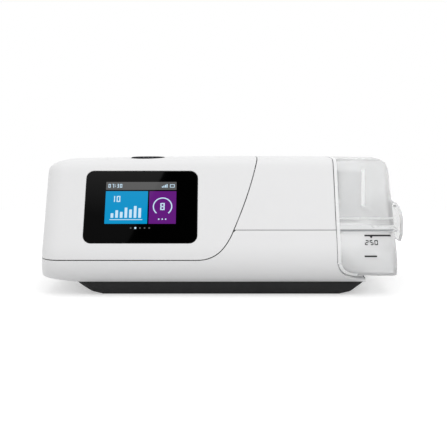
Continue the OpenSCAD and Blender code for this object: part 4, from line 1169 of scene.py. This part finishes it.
def make_floor():
    """A pale table top that reads as white and keeps a faint shadow."""
    left, right, front, back = -FLOOR_HALF, FLOOR_HALF, -FLOOR_HALF, FLOOR_BEHIND
    corners = [(left, front, 0), (right, front, 0), (right, back, 0), (left, back, 0)]
    mesh = new_mesh("floor", corners, [(0, 1, 2, 3)])
    floor = new_object("floor", mesh)
    material, tree, plain = tree_of("floor")
    glowing = tree.nodes.new("ShaderNodeBsdfPrincipled")
    for shader in (plain, glowing):
        shader.inputs["Base Color"].default_value = FLOOR_GREY
        shader.inputs["Roughness"].default_value = 0.9
        shader.inputs["Specular IOR Level"].default_value = 0.0
    glowing.inputs["Emission Color"].default_value = WHITE
    glowing.inputs["Emission Strength"].default_value = FLOOR_GLOW
    seen_apart(tree, plain, glowing, "Material Output")
    mesh.materials.append(material)


def mirrored(place):
    """A point on the glass, and the direction that the camera's view takes from there."""
    point = on_glass(np.array([place]), 0)[0]
    sight = (point - CAMERA_AT) / np.linalg.norm(point - CAMERA_AT)
    return point, sight - 2 * np.dot(sight, FACE_OUT) * FACE_OUT


def on_card(place, reach):
    """The point of a card at a reach that the camera sees at a place on the glass."""
    aim_point, aim = mirrored(CARD_AIM)
    point, ray = mirrored(place)
    way = np.dot(aim_point + reach * aim - point, aim) / np.dot(ray, aim)
    return point + way * ray


def sheen():
    """Glow that fades downward, for the card that the left part of the glass mirrors."""
    material, tree, shader = tree_of("sheen")
    shader.inputs["Base Color"].default_value = (0, 0, 0, 1)
    shader.inputs["Specular IOR Level"].default_value = 0.0
    shader.inputs["Emission Color"].default_value = WHITE
    coords = tree.nodes.new("ShaderNodeTexCoord")
    split = tree.nodes.new("ShaderNodeSeparateXYZ")
    ends = [on_card(place, PALE_REACH)[2] * MM for place in FADE_ENDS]
    fade = ranged(tree, (*ends, *FADE_GLOW))
    tree.links.new(coords.outputs["Object"], split.inputs["Vector"])
    tree.links.new(split.outputs["Z"], fade.inputs["Value"])
    tree.links.new(fade.outputs["Result"], shader.inputs["Emission Strength"])
    return material


def make_card(name, places, reach, material):
    """A card over the camera that is seen only by reflection."""
    corners = [on_card(place, reach) for place in places]
    card = new_object(name, new_mesh(name, corners, [(0, 1, 2, 3)]))
    card.data.materials.append(material)
    card.visible_camera = False
    card.visible_diffuse = False
    card.visible_shadow = False
    card.visible_transmission = False


# Solids that show, each with its body and the width of its softened edges, in millimetres
FINISHED = {
    "base_pan": ("machine", 0.4), "rear_panel": ("machine", 0.25),
    "filter_cover": ("filter_cover", 0.3), "retention_clip": ("retention_clip", 0.3),
    "outlet_connector": ("machine", 0.3), "card_cover": ("card_cover", 0.3),
    "rubber_feet": ("machine", 0.3), "start_button": ("start_button", 0.4),
    "tub_latch": ("tub_latch", 0.5), "adapter_cover": ("machine", 0.3),
    "power_inlet": ("machine", 0.25), "screen_glass": ("machine", 0.3),
    "tub_base": ("tub", 0.3), "tub_lid": ("tub", 0.3), "tub_air_duct": ("tub", 0.8),
    "bay_liner": ("machine", 0.3),
}

# Finishes that aren't the slot's own, and the slots of all nodes
OWN_FINISH = {"tub_air_duct": "frost_and_highlight", "tub_latch": "latch_clear"}
SLOTS = {row["node"]: row["material_slot"] for row in frame["record"]["subparts"]}

make_camera()
make_world()
make_floor()
for name, values in LAMPS.items():
    make_lamp(name, *values)
make_card("dark_card", DARK_CORNERS, DARK_REACH,
          look("dark_card", (0.002, 0.002, 0.002), 0.9, spec=0.0))
make_card("pale_card", PALE_CORNERS, PALE_REACH, sheen())

for name, node in frame["nodes"].items():
    paint(node, SLOTS[name])
main_cover()
bay_cover()
lower_housing()
for name, (body, width) in FINISHED.items():
    piece = polished(name, body, width, OWN_FINISH.get(name, SLOTS[name]))
    if name == "base_pan":
        longer_rim(piece)
display_picture()
fill_marks()
# The rim band and the rib are thin frosted white strips; their whiteness is painted highlight
tub_rim_highlight()
for k, (low, high, lift) in enumerate(TUB_BEADS):
    tub_bead(low, high, lift, "tub_bead_" + str(k + 1))
tub_rib_highlight()
button_sign()

scene.view_settings.view_transform = "Standard"
